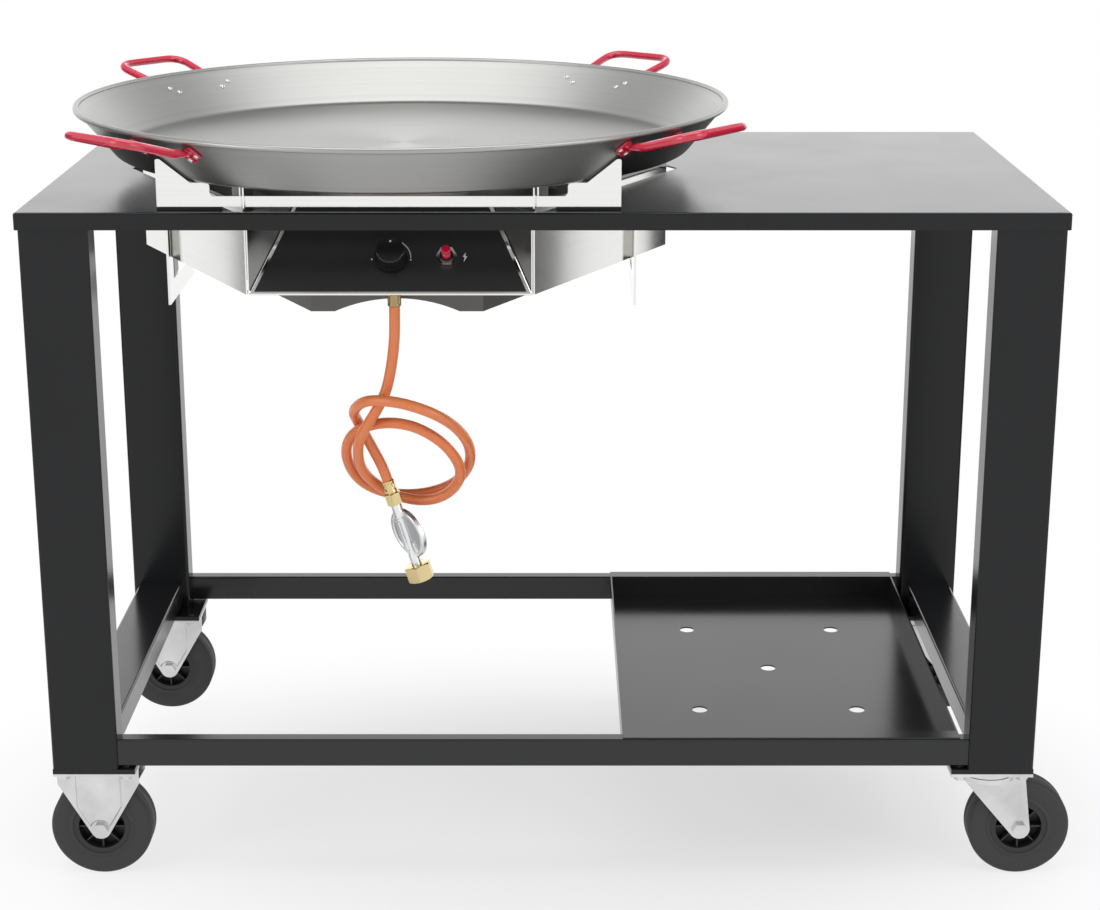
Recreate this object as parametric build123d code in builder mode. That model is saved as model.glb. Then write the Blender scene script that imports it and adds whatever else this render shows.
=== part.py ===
from build123d import *
import math
import os

os.makedirs("parts", exist_ok=True)

# Paella gas grill on a wheeled trolley.
# Millimetres. +X is right, +Y is to the back, +Z is up and the floor is at zero.
# The origin is on the floor under the middle of the overall box.

# Fits
running_clearance = 0.05
seat_gap = 0.1
slot_gap = 0.2

# Worktop
table_length = 1200
table_depth = 600
table_height = 840
table_sheet = 2
lip_height = 20
fold_radius = 3
table_rim = 8
cutout_side_gap = 12
cutout_front_gap = 6
cutout_corner = 4

# Legs and rails
leg_width = 80
leg_depth = 40
leg_wall = 2
leg_corner = 4
leg_lip_gap = 1.2
gusset_size = 10
gusset_thickness = 4
rail_height = 35
rail_depth = 20
side_rail_width = 60
rail_wall = 2
rail_corner = 3
rail_setback = 3
rail_lift = 3

# Casters
wheel_diameter = 125
tyre_width = 37
tyre_bore = 70
tyre_shoulder = 9
caster_height = 146
base_plate_length = 100
base_plate_depth = 85
base_plate_thickness = 6
wheel_trail = 42
bracket_plate = 3
cheek_thickness = 2.5
cheek_gap = 41
cheek_end_radius = 12.5
cheek_edge = 19
pressing_width = 56
pressing_height = 2
pressing_inset = 4
pressing_slope = 40
axle_diameter = 10
axle_head = 17
axle_head_height = 6
axle_nut_height = 8
axle_tail = 2
hub_rim = 6.5
hub_width = 33
hub_web = 4
hub_boss = 24
hub_ribs = 8
hub_rib_width = 2
hub_rib_inset = 3
hub_end_play = 0.4
bolt_diameter = 8
bolt_head = 13
bolt_head_height = 5.3
bolt_spacing_x = 76
bolt_spacing_y = 68
swivel_plate = 4
race_height = 6
race_radius = 37
swivel_gap = 0.5
ball_play = 0.25
ball_circle = 40.4
ball_count = 16
kingpin_diameter = 12
kingpin_head = 22
kingpin_head_height = 3
fork_head_radius = 38
fork_head_thickness = 6
fork_shoulder = 15

# Gas bottle tray
tray_length = 410
tray_right_gap = 20
tray_sheet = 2
tray_side_gap = 1
tray_floor_height = 7
tray_lip = 18
tray_hole = 20
tray_hole_spacing_x = 202
tray_hole_spacing_y = 276

# Burner unit
grill_offset = 175
housing_sheet = 1.5
housing_depth = 98
housing_rise = 8
ear_rise = 18
ear_length = 28
shield_inset = 21
shield_drop = 45
shield_top_depth = 65
shield_arch = 16
shield_arch_width = 150
floor_panel_gap = 6
floor_foot_gap = 5
floor_ledge = 29

# Pan supports
support_thickness = 3
support_inset = 8
support_bar = 12.5
support_step = 22
support_rise = 15.5
support_tip_height = 58
support_tip = 5
support_fillet = 5
rest_pad_thickness = 3
rest_pad_width = 7
rest_pad_length = 74

# Feet under the housing
foot_thickness = 3
foot_inset = 41.75
foot_half_length = 90
foot_post = 30
foot_bar = 27
foot_drop = 58
foot_rise = 73

# Control box
panel_tilt = 36.87
panel_length = 120
cheek_inset = 1.6
cheek_slope = 45 / 66
panel_lip = 18
fascia_sheet = 1
fascia_margin = 4
control_row = 46

# Gas tap and knob
tap_diameter = 22
tap_length = 36
tap_bush = 14
tap_bush_length = 6
tap_block = 16
tap_block_length = 14
spindle_diameter = 8
spindle_reach = 14
spindle_depth = 26
knob_diameter = 38
knob_height = 20
knob_gap = 3.5
knob_recess = 17
knob_skirt = 3
knob_grips = 6
knob_wall = 5
jet_diameter = 12
jet_length = 12
jet_nozzle = 6
jet_nozzle_length = 8

# Igniter
igniter_offset = 64
piezo_diameter = 18
piezo_length = 40
piezo_neck = 16
piezo_neck_rise = 10
piezo_nut = 22
piezo_nut_height = 6
button_diameter = 11
button_rise = 26
button_depth = 14

# Burner
ring_width = 20
ring_height = 18
ring_wall = 2.5
outer_ring_gap = 4
inner_ring_diameter = 190
port_spacing = 26
port_diameter = 3
burner_drop = 8
arm_width = 16
arm_height = 16
burner_hub = 48
burner_post = 14
mixing_diameter = 26
mixing_wall = 1.5
mixing_bell = 36
mixing_bell_length = 14
mixing_bell_overlap = 6
riser_diameter = 32
riser_foot = 17
probe_ring_gap = 25
probe_spread = 15
probe_tab_length = 46
probe_tab_width = 14
probe_tab_thickness = 2
probe_collar = 10
probe_collar_height = 2
probe_top = 18
thermocouple_diameter = 5
thermocouple_length = 54
electrode_diameter = 7
electrode_length = 28
electrode_tip = 2

# Pan
pan_rim_radius = 402
pan_flare = 46
pan_depth = 56
pan_sheet = 2.2
pan_corner = 12
pan_bead = 3.5
pan_wall_clearance = 1.5
handle_start_angle = 50
handle_count = 4
handle_rod = 10.4
handle_lug_spread = 43.5
handle_lug_drop = 16.3
handle_out = 87
handle_grip_half = 55
handle_rim_rise = 9
handle_knee_out = 13
handle_knee_drop = 12
handle_knee_half = 48
handle_bend = 20
handle_knee_bend = 14
lug_length = 25
lug_width = 20
lug_corner = 6
lug_thickness = 3
lug_tilt = 30
rod_seat = 5
rivet_spread = 7.5
rivet_drop = 4
rivet_diameter = 5
rivet_head = 7
rivet_head_height = 1.8

# Gas hose and regulator
hose_diameter = 13
hose_x = 2
hose_setback = 34
hose_drop = 21
ferrule_diameter = 16
ferrule_length = 22
inlet_nut = 19
inlet_nut_height = 9.5
end_ferrule_diameter = 16
end_ferrule_length = 17
end_nut = 18
end_nut_length = 15
regulator_tube = 13
regulator_disc = 64
regulator_disc_thickness = 16
regulator_disc_place = 73
regulator_disc_setback = 8
regulator_disc_turn = -52
regulator_rim = 5
regulator_face_drop = 1.5
regulator_bar_length = 40
regulator_bar_width = 8
regulator_bar_height = 1.5
regulator_collar = 20
regulator_collar_length = 4
union_nut = 30
union_nut_start = 114
union_nut_length = 20
union_nut_roof = 5
union_nut_side_play = 0.5
union_nut_end_play = 0.5
union_nut_bore = 22

# Hose route below the inlet: right, back and up from the point where the hose leaves its ferrule
hose_route = [
    (0, 0, 0),
    (0, 0, -18),
    (-1, 1, -44),
    (-6, 2, -80),
    (-13, 0, -108),
    (-30, 1, -138),
    (-46, 13, -164),
    (-51, 36, -194),
    (-47, 62, -224),
    (-27, 80, -249),
    (1, 83, -264),
    (35, 76, -265),
    (63, 62, -247),
    (76, 40, -216),
    (64, 21, -184),
    (42, 9, -160),
    (13, 8, -146),
    (-20, 16, -146),
    (-52, 31, -160),
    (-66, 49, -185),
    (-66, 68, -213),
    (-54, 84, -241),
    (-27, 96, -260),
    (5, 101, -265),
    (37, 98, -260),
    (66, 84, -243),
    (84, 60, -214),
    (86, 30, -181),
    (74, 1, -151),
    (54, -21, -129),
    (28, -30, -115),
    (-2, -27, -108),
    (-37, -7, -112),
    (-54, 21, -133),
    (-51, 47, -153),
    (-34, 61, -193),
    (-22, 59, -216),
    (-17, 59, -232),
]

# Places worked out from the sizes above
wheel_radius = wheel_diameter / 2
table_x = -wheel_trail / 2
grill_x = table_x - grill_offset
table_under = table_height - table_sheet
leg_bottom = caster_height + base_plate_thickness
leg_outer_x = table_length / 2 - table_sheet - leg_lip_gap
leg_outer_y = table_depth / 2 - table_sheet - leg_lip_gap
leg_x = leg_outer_x - leg_width / 2
leg_y = leg_outer_y - leg_depth / 2
caster_x = leg_outer_x - base_plate_length / 2
caster_y = leg_outer_y - base_plate_depth / 2
rail_bottom = leg_bottom + rail_lift
rail_top = rail_bottom + rail_height
rail_y = leg_outer_y - rail_setback - rail_depth / 2
axle_span = cheek_gap / 2 + cheek_thickness
swivel_plate_bottom = caster_height - swivel_plate
fork_top = swivel_plate_bottom - race_height - swivel_gap
fork_head_bottom = fork_top - fork_head_thickness
ball_radius = (race_height + swivel_gap) / 2 - ball_play
housing_apothem = table_depth / 2 - table_rim - cutout_front_gap
housing_bottom = table_height - housing_depth
housing_top = table_height + housing_rise
ear_top = housing_top + ear_rise
housing_inner = housing_apothem - housing_sheet
floor_top = table_height - shield_top_depth + housing_sheet
pan_bottom = table_height + rest_pad_thickness + support_bar + support_rise
hex_corner = housing_apothem / math.cos(math.radians(30))
support_offset = housing_apothem - support_inset
foot_offset = hex_corner - foot_inset
panel_normal = (0, -math.cos(math.radians(panel_tilt)), math.sin(math.radians(panel_tilt)))
panel_plane = Plane(
    origin=(grill_x, -housing_apothem, housing_bottom), x_dir=(1, 0, 0), z_dir=panel_normal
)
panel_back = panel_length * panel_normal[2]
panel_rise = -panel_length * panel_normal[1]
outer_ring_diameter = 2 * (housing_apothem - panel_back - outer_ring_gap) - ring_width
shield_apothem = outer_ring_diameter / 2 - shield_inset
floor_front = housing_apothem - panel_back - floor_panel_gap
floor_half_length = foot_offset - foot_thickness / 2 - floor_foot_gap
floor_hole_apothem = shield_apothem - floor_ledge
probe_offset = (inner_ring_diameter + ring_width) / 2 + probe_ring_gap
pan_base_radius = pan_rim_radius - pan_flare
handle_lug_height = pan_depth - handle_lug_drop
hose_y = hose_setback - housing_apothem
hose_top = housing_bottom - hose_drop


def write(piece, name):
    """Label a finished piece and write it under its node's name."""
    piece.part.label = name
    export_step(piece.part, f"parts/{name}.step")


# Worktop: a folded sheet with a hexagonal cut-out for the burner unit
cutout_side = housing_apothem + cutout_side_gap
cutout_front = housing_apothem + cutout_front_gap
cutout_tip = cutout_side / math.cos(math.radians(30))
cutout_front_half = (cutout_side - cutout_front / 2) / math.cos(math.radians(30))
with BuildPart() as table_top:
    with BuildSketch(Plane.XY.offset(table_height - lip_height)):
        with Locations((table_x, 0)):
            Rectangle(table_length, table_depth)
    extrude(amount=lip_height)
    fillet(table_top.edges().filter_by(Axis.Z), fold_radius)
    fillet(table_top.edges().group_by(Axis.Z)[-1], fold_radius)
    offset(amount=-table_sheet, openings=table_top.faces().sort_by(Axis.Z)[0])
    with BuildSketch(Plane.XY.offset(table_under - table_sheet)) as cutout:
        with Locations((grill_x, 0)):
            Polygon(
                (cutout_tip, 0),
                (cutout_front_half, cutout_front),
                (-cutout_front_half, cutout_front),
                (-cutout_tip, 0),
                (-cutout_front_half, -cutout_front),
                (cutout_front_half, -cutout_front),
                align=None,
            )
        fillet(cutout.vertices(), cutout_corner)
    extrude(amount=3 * table_sheet, mode=Mode.SUBTRACT)
write(table_top, "table_top")

# Legs: rectangular tube with a small gusset on the inner side under the worktop
sides = {"left": -1, "right": 1}
ends = {"front": -1, "rear": 1}
for end, along in ends.items():
    for side, across in sides.items():
        x = table_x + across * leg_x
        y = along * leg_y
        inner_face = x - across * leg_width / 2
        with BuildPart() as leg:
            with BuildSketch(Plane.XY.offset(leg_bottom)):
                with Locations((x, y)):
                    RectangleRounded(leg_width, leg_depth, leg_corner)
                    RectangleRounded(
                        leg_width - 2 * leg_wall,
                        leg_depth - 2 * leg_wall,
                        leg_corner - leg_wall,
                        mode=Mode.SUBTRACT,
                    )
            extrude(amount=table_under - leg_bottom)
            with BuildSketch(Plane.XZ.offset(-y)):
                Polygon(
                    (inner_face, table_under),
                    (inner_face - across * gusset_size, table_under),
                    (inner_face, table_under - gusset_size),
                    align=None,
                )
            extrude(amount=gusset_thickness / 2, both=True)
        write(leg, f"leg_{end}_{side}")

# Rails: two long ones between the legs and two wide ones at the sides
long_rail_length = 2 * leg_x - leg_width
side_rail_length = 2 * leg_y - leg_depth
for end, along in ends.items():
    plane = Plane(
        origin=(table_x - long_rail_length / 2, along * rail_y, (rail_bottom + rail_top) / 2),
        x_dir=(0, 1, 0),
        z_dir=(1, 0, 0),
    )
    with BuildPart() as rail:
        with BuildSketch(plane):
            RectangleRounded(rail_depth, rail_height, rail_corner)
            RectangleRounded(
                rail_depth - 2 * rail_wall,
                rail_height - 2 * rail_wall,
                rail_corner - rail_wall,
                mode=Mode.SUBTRACT,
            )
        extrude(amount=long_rail_length)
    write(rail, f"{end}_rail")
for side, across in sides.items():
    plane = Plane(
        origin=(table_x + across * leg_x, side_rail_length / 2, (rail_bottom + rail_top) / 2),
        x_dir=(1, 0, 0),
        z_dir=(0, -1, 0),
    )
    with BuildPart() as rail:
        with BuildSketch(plane):
            RectangleRounded(side_rail_width, rail_height, rail_corner)
            RectangleRounded(
                side_rail_width - 2 * rail_wall,
                rail_height - 2 * rail_wall,
                rail_corner - rail_wall,
                mode=Mode.SUBTRACT,
            )
        extrude(amount=side_rail_length)
    write(rail, f"{side}_rail")

# Plates under the legs, and the screws that hold the casters to them
caster_places = [
    (table_x + across * caster_x, along * caster_y) for along in ends.values() for across in sides.values()
]
with BuildPart() as base_plates:
    with BuildSketch(Plane.XY.offset(caster_height)):
        with Locations(*caster_places):
            Rectangle(base_plate_length, base_plate_depth)
            with GridLocations(bolt_spacing_x, bolt_spacing_y, 2, 2):
                Circle(bolt_diameter / 2 + running_clearance, mode=Mode.SUBTRACT)
    extrude(amount=base_plate_thickness)
write(base_plates, "caster_base_plates")

with BuildPart() as bolts:
    for across, plate in ((-1, bracket_plate), (1, swivel_plate)):
        for along in ends.values():
            with BuildSketch(Plane.XY.offset(caster_height - plate - bolt_head_height)):
                with Locations((table_x + across * caster_x, along * caster_y)):
                    with GridLocations(bolt_spacing_x, bolt_spacing_y, 2, 2):
                        RegularPolygon(bolt_head / 2, 6, major_radius=False)
            extrude(amount=bolt_head_height)
            with BuildSketch(Plane.XY.offset(caster_height - plate)):
                with Locations((table_x + across * caster_x, along * caster_y)):
                    with GridLocations(bolt_spacing_x, bolt_spacing_y, 2, 2):
                        Circle(bolt_diameter / 2)
            extrude(amount=plate + base_plate_thickness)
write(bolts, "caster_bolts")


def wheel_plane(x, y):
    """Plane through a wheel's middle, with its normal along the axle."""
    return Plane(origin=(x, y, wheel_radius), x_dir=(1, 0, 0), z_dir=(0, 1, 0))


def build_axle(places):
    """Axle bolts with their heads to the front, each with a separate nut."""
    with BuildPart() as axle:
        for x, y in places:
            plane = wheel_plane(x, y)
            with BuildSketch(plane.offset(-axle_span - axle_head_height)):
                RegularPolygon(axle_head / 2, 6, major_radius=False)
            extrude(amount=axle_head_height)
            with BuildSketch(plane.offset(-axle_span)):
                Circle(axle_diameter / 2)
            extrude(amount=2 * axle_span + axle_nut_height + axle_tail)
            with BuildSketch(plane.offset(axle_span)):
                RegularPolygon(axle_head / 2, 6, major_radius=False)
                Circle(axle_diameter / 2 + running_clearance, mode=Mode.SUBTRACT)
            extrude(amount=axle_nut_height)
    return axle


def build_tyre(x, y):
    """Rubber tyre with round shoulders."""
    with BuildPart(wheel_plane(x, y)) as tyre:
        Cylinder(wheel_radius, tyre_width)
        fillet(tyre.edges().filter_by(GeomType.CIRCLE), tyre_shoulder)
        Cylinder(tyre_bore / 2, tyre_width, mode=Mode.SUBTRACT)
    return tyre


def build_hub(x, y):
    """Moulded hub: rim, boss and a closed web with thin ribs on both sides."""
    rim_radius = tyre_bore / 2 - running_clearance
    recess_radius = rim_radius - hub_rim
    rib_span = hub_width - 2 * hub_rib_inset
    with BuildPart(wheel_plane(x, y)) as hub:
        Cylinder(rim_radius, hub_width)
        Cylinder(recess_radius, hub_width, mode=Mode.SUBTRACT)
        Cylinder(recess_radius, hub_web)
        with BuildSketch(wheel_plane(x, y).offset(-rib_span / 2)):
            with PolarLocations(0, hub_ribs):
                Rectangle(
                    recess_radius + hub_rim / 2, hub_rib_width, align=(Align.MIN, Align.CENTER)
                )
        extrude(amount=rib_span)
        Cylinder(hub_boss / 2, cheek_gap - 2 * hub_end_play)
        Cylinder(axle_diameter / 2 + running_clearance, cheek_gap, mode=Mode.SUBTRACT)
    return hub


# Fixed casters on the left: brackets with a cheek each side of the wheel, pressed out in the middle
fixed_places = [(table_x - caster_x, along * caster_y) for along in ends.values()]
cheek_top = caster_height - bracket_plate
with BuildPart() as brackets:
    for x, y in fixed_places:
        with BuildSketch(Plane.XY.offset(cheek_top)):
            with Locations((x, y)):
                Rectangle(base_plate_length, base_plate_depth)
                with GridLocations(bolt_spacing_x, bolt_spacing_y, 2, 2):
                    Circle(bolt_diameter / 2 + seat_gap, mode=Mode.SUBTRACT)
        extrude(amount=bracket_plate)
        for face in (-1, 1):
            inner = Plane.XZ.offset(-(y + face * cheek_gap / 2))
            with BuildSketch(inner) as cheek:
                with Locations((x, wheel_radius)):
                    Circle(cheek_end_radius)
                with Locations((x, cheek_top)):
                    Rectangle(base_plate_length, cheek_edge, align=(Align.CENTER, Align.MAX))
                make_hull(cheek.edges())
                with Locations((x, wheel_radius)):
                    Circle(axle_diameter / 2 + seat_gap, mode=Mode.SUBTRACT)
            extrude(amount=-face * cheek_thickness)
            outer = Plane(
                origin=(x, y + face * axle_span, wheel_radius), x_dir=(-face, 0, 0), z_dir=(0, face, 0)
            )
            with BuildSketch(outer) as pressing:
                Circle(cheek_end_radius - pressing_inset)
                with Locations((0, cheek_top - wheel_radius)):
                    Rectangle(
                        base_plate_length - 2 * pressing_inset, cheek_edge, align=(Align.CENTER, Align.MAX)
                    )
                make_hull(pressing.edges())
                Rectangle(pressing_width, 3 * base_plate_length, mode=Mode.INTERSECT)
                Circle(axle_head * 0.6 + pressing_height, mode=Mode.SUBTRACT)
            extrude(amount=pressing_height, taper=pressing_slope)
write(brackets, "fixed_caster_brackets")
write(build_axle(fixed_places), "fixed_caster_axles")
for (x, y), end in zip(fixed_places, ends):
    write(build_tyre(x, y), f"{end}_left_tyre")
    write(build_hub(x, y), f"{end}_left_hub")

# Swivel casters on the right: top plate with a ball race, king pin, and a fork that trails outwards
swivel_places = [(table_x + caster_x, along * caster_y) for along in ends.values()]
race_inner = ball_circle / 2 + ball_radius + ball_play
boss_radius = ball_circle / 2 - ball_radius - ball_play
kingpin_bore = kingpin_diameter / 2 + running_clearance
with BuildPart() as swivel_plates:
    with BuildSketch(Plane.XY.offset(swivel_plate_bottom)):
        with Locations(*swivel_places):
            Rectangle(base_plate_length, base_plate_depth)
            Circle(kingpin_bore, mode=Mode.SUBTRACT)
            with GridLocations(bolt_spacing_x, bolt_spacing_y, 2, 2):
                Circle(bolt_diameter / 2 + seat_gap, mode=Mode.SUBTRACT)
    extrude(amount=swivel_plate)
    with BuildSketch(Plane.XY.offset(swivel_plate_bottom)):
        with Locations(*swivel_places):
            Circle(race_radius)
            Circle(race_inner, mode=Mode.SUBTRACT)
    extrude(amount=-race_height)
write(swivel_plates, "swivel_plates")

with BuildPart() as balls:
    for x, y in swivel_places:
        with Locations((x, y, (swivel_plate_bottom + fork_top) / 2)):
            with PolarLocations(ball_circle / 2, ball_count):
                Sphere(ball_radius)
write(balls, "swivel_balls")

with BuildPart() as kingpins:
    with BuildSketch(Plane.XY.offset(caster_height)):
        with Locations(*swivel_places):
            Circle(kingpin_diameter / 2)
    extrude(amount=-(caster_height - fork_head_bottom))
    with BuildSketch(Plane.XY.offset(fork_head_bottom - seat_gap)):
        with Locations(*swivel_places):
            Circle(kingpin_head / 2)
    extrude(amount=-kingpin_head_height)
    with BuildSketch(Plane.XY.offset(fork_head_bottom)):
        with Locations(*swivel_places):
            Circle(kingpin_diameter / 2)
    extrude(amount=-seat_gap)
write(kingpins, "swivel_kingpins")

for (x, y), end in zip(swivel_places, ends):
    wheel_x = x + wheel_trail
    with BuildPart() as fork:
        with BuildSketch(Plane.XY.offset(fork_head_bottom)):
            with Locations((x, y)):
                Circle(fork_head_radius)
        extrude(amount=fork_head_thickness)
        with BuildSketch(Plane.XY.offset(fork_top)):
            with Locations((x, y)):
                Circle(boss_radius)
        extrude(amount=race_height)
        for face in (-1, 1):
            with BuildSketch(Plane.XZ.offset(-(y + face * cheek_gap / 2))) as cheek:
                half_chord = math.sqrt(fork_head_radius**2 - axle_span**2)
                with Locations((wheel_x, wheel_radius)):
                    Circle(cheek_end_radius)
                with Locations((x - half_chord, fork_top)):
                    Rectangle(
                        2 * half_chord + fork_shoulder, fork_head_thickness, align=(Align.MIN, Align.MAX)
                    )
                make_hull(cheek.edges())
                with Locations((wheel_x, wheel_radius)):
                    Circle(axle_diameter / 2 + seat_gap, mode=Mode.SUBTRACT)
            extrude(amount=-face * cheek_thickness)
        with BuildSketch(Plane.XY.offset(fork_head_bottom)):
            with Locations((x, y)):
                Circle(kingpin_bore)
        extrude(amount=fork_head_thickness + race_height, mode=Mode.SUBTRACT)
    write(fork, f"{end}_swivel_fork")
    write(build_axle([(wheel_x, y)]), f"{end}_swivel_axle")
    write(build_tyre(wheel_x, y), f"{end}_right_tyre")
    write(build_hub(wheel_x, y), f"{end}_right_hub")

# Tray for the gas bottle, hung by its lips on the front and rear rails
tray_right = table_x + leg_x - side_rail_width / 2 - tray_right_gap
tray_x = tray_right - tray_length / 2
tray_half = rail_y - rail_depth / 2 - tray_side_gap
tray_floor = rail_bottom + tray_floor_height
tray_rim = rail_top + tray_sheet
with BuildPart() as tray:
    with BuildSketch(Plane.XY.offset(tray_floor - tray_sheet)):
        with Locations((tray_x, 0)):
            Rectangle(tray_length, 2 * tray_half)
    extrude(amount=tray_rim - tray_floor + tray_sheet)
    offset(amount=-tray_sheet, openings=tray.faces().sort_by(Axis.Z)[-1])
    for along in ends.values():
        with BuildSketch(Plane.XY.offset(rail_top)):
            with Locations((tray_x, along * (tray_half + tray_lip / 2))):
                Rectangle(tray_length, tray_lip)
        extrude(amount=tray_sheet)
    with BuildSketch(Plane.XY.offset(tray_floor)):
        with Locations((tray_x, 0)):
            Circle(tray_hole / 2)
            with GridLocations(tray_hole_spacing_x, tray_hole_spacing_y, 2, 2):
                Circle(tray_hole / 2)
    extrude(amount=-tray_sheet, mode=Mode.SUBTRACT)
write(tray, "bottle_tray")

# Burner housing: five bent walls, open at the front, slotted for the supports and the feet
support_bottom = table_height + rest_pad_thickness
foot_top = housing_bottom + foot_rise
with BuildPart() as housing:
    with BuildSketch(Plane.XY.offset(housing_bottom)):
        with Locations((grill_x, 0)):
            RegularPolygon(housing_apothem, 6, major_radius=False)
            RegularPolygon(housing_inner, 6, major_radius=False, mode=Mode.SUBTRACT)
    extrude(amount=ear_top - housing_bottom)
    with Locations((grill_x, -housing_apothem, housing_bottom)):
        Box(
            hex_corner + 2 * housing_sheet,
            2 * housing_sheet,
            ear_top - housing_bottom,
            align=(Align.CENTER, Align.CENTER, Align.MIN),
            mode=Mode.SUBTRACT,
        )
    with Locations((grill_x, 0, housing_top)):
        Box(
            3 * housing_apothem,
            2 * (housing_apothem - ear_length),
            ear_rise,
            align=(Align.CENTER, Align.CENTER, Align.MIN),
            mode=Mode.SUBTRACT,
        )
        Box(
            hex_corner - 2 * ear_length,
            3 * housing_apothem,
            ear_rise,
            align=(Align.CENTER, Align.CENTER, Align.MIN),
            mode=Mode.SUBTRACT,
        )
    for along in ends.values():
        with Locations((grill_x, along * support_offset, support_bottom)):
            Box(
                3 * housing_apothem,
                support_thickness + 2 * slot_gap,
                ear_top - support_bottom,
                align=(Align.CENTER, Align.CENTER, Align.MIN),
                mode=Mode.SUBTRACT,
            )
    for across in sides.values():
        with Locations((grill_x + across * foot_offset, 0, housing_bottom)):
            Box(
                foot_thickness + 2 * slot_gap,
                2 * housing_apothem,
                foot_top - housing_bottom,
                align=(Align.CENTER, Align.CENTER, Align.MIN),
                mode=Mode.SUBTRACT,
            )
write(housing, "burner_housing")

# Inner shield: six walls under the burner, arched below at the front, with a hole for the mixing tube
tap_back = tap_length + housing_sheet
jet_axis_y = -housing_apothem + control_row * panel_normal[2] - tap_back * panel_normal[1]
jet_axis_z = housing_bottom - control_row * panel_normal[1] - tap_back * panel_normal[2]
shield_bottom = housing_bottom - shield_drop
shield_top = table_height - shield_top_depth
with BuildPart() as shield:
    with BuildSketch(Plane.XY.offset(shield_bottom)):
        with Locations((grill_x, 0)):
            RegularPolygon(shield_apothem, 6, major_radius=False)
            RegularPolygon(shield_apothem - housing_sheet, 6, major_radius=False, mode=Mode.SUBTRACT)
    extrude(amount=shield_top - shield_bottom)
    with BuildSketch(Plane.XZ.offset(shield_apothem - 2 * housing_sheet)):
        with BuildLine():
            ThreePointArc(
                (grill_x - shield_arch_width / 2, shield_bottom),
                (grill_x, shield_bottom + shield_arch),
                (grill_x + shield_arch_width / 2, shield_bottom),
            )
            Line(
                (grill_x + shield_arch_width / 2, shield_bottom),
                (grill_x - shield_arch_width / 2, shield_bottom),
            )
        make_face()
        with Locations((grill_x, jet_axis_z)):
            Circle(mixing_diameter / 2 + seat_gap)
    extrude(amount=4 * housing_sheet, mode=Mode.SUBTRACT)
write(shield, "inner_shield")

# Floor sheet between the housing and the shield, open in the middle and cut short behind the control box
with BuildPart() as floor:
    with BuildSketch(Plane.XY.offset(shield_top)):
        with Locations((grill_x, 0)):
            RegularPolygon(housing_inner - seat_gap, 6, major_radius=False)
            RegularPolygon(floor_hole_apothem, 6, major_radius=False, mode=Mode.SUBTRACT)
        with Locations((grill_x, -floor_front)):
            Rectangle(
                2 * floor_half_length,
                floor_front + housing_apothem,
                align=(Align.CENTER, Align.MIN),
                mode=Mode.INTERSECT,
            )
    extrude(amount=housing_sheet)
write(floor, "burner_floor")


# Pan wall
def pan_radius(height):
    """Outer radius of the pan's flared wall at a height above its base."""
    return pan_base_radius + (pan_rim_radius - pan_base_radius) * height / pan_depth


def pan_edge(height):
    """Half width of the pan where a support plate crosses it."""
    return math.sqrt(pan_radius(height) ** 2 - (support_offset - support_thickness / 2) ** 2)


# Pan supports: plates on edge, with a step that carries the pan's base and a ramp along its wall
bar_top = support_bottom + support_bar
ramp_foot = pan_edge(0) + pan_wall_clearance
ramp_rise = support_tip_height - (pan_bottom - table_height)
ramp_head = pan_edge(ramp_rise) + pan_wall_clearance
cutout_half = cutout_tip - support_offset * math.tan(math.radians(30))
support_half = max(ramp_head + support_tip, cutout_half + rest_pad_length)
for end, along in ends.items():
    with BuildPart() as support:
        with BuildSketch(Plane.XZ.offset(-along * support_offset)) as profile:
            with Locations((grill_x, 0)):
                Polygon(
                    (-support_half, support_bottom),
                    (support_half, support_bottom),
                    (support_half, table_height + support_tip_height),
                    (ramp_head, table_height + support_tip_height),
                    (ramp_foot, pan_bottom),
                    (ramp_foot - support_step, pan_bottom),
                    (ramp_foot - support_step, bar_top),
                    (support_step - ramp_foot, bar_top),
                    (support_step - ramp_foot, pan_bottom),
                    (-ramp_foot, pan_bottom),
                    (-ramp_head, table_height + support_tip_height),
                    (-support_half, table_height + support_tip_height),
                    align=None,
                )
            inner_corners = profile.vertices().filter_by(
                lambda v: abs(abs(v.X - grill_x) - ramp_foot + support_step) < support_fillet
            )
            fillet(inner_corners, support_fillet)
            tips = profile.vertices().group_by(Axis.Y)[-1]
            fillet(tips, support_tip * 0.45)
        extrude(amount=support_thickness / 2, both=True)
    write(support, f"{end}_support")

# Rubber strips between the supports and the worktop
with BuildPart() as rest_pads:
    with BuildSketch(Plane.XY.offset(table_height)):
        for along in ends.values():
            for across in sides.values():
                place = (grill_x + across * (support_half - rest_pad_length / 2), along * support_offset)
                with Locations(place):
                    Rectangle(rest_pad_length, rest_pad_width)
    extrude(amount=rest_pad_thickness)
write(rest_pads, "rest_pads")

# Feet: U-shaped plates slotted through the housing walls
for side, across in sides.items():
    foot_x = grill_x + across * foot_offset
    with BuildPart() as foot:
        with BuildSketch(Plane.YZ.offset(foot_x)) as profile:
            with Locations((0, housing_bottom - foot_drop)):
                Rectangle(
                    2 * foot_half_length,
                    foot_top - housing_bottom + foot_drop,
                    align=(Align.CENTER, Align.MIN),
                )
            with Locations((0, housing_bottom - foot_drop + foot_bar)):
                Rectangle(
                    2 * (foot_half_length - foot_post),
                    foot_top - housing_bottom + foot_drop,
                    align=(Align.CENTER, Align.MIN),
                    mode=Mode.SUBTRACT,
                )
        extrude(amount=foot_thickness / 2, both=True)
    write(foot, f"{side}_foot")

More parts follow.
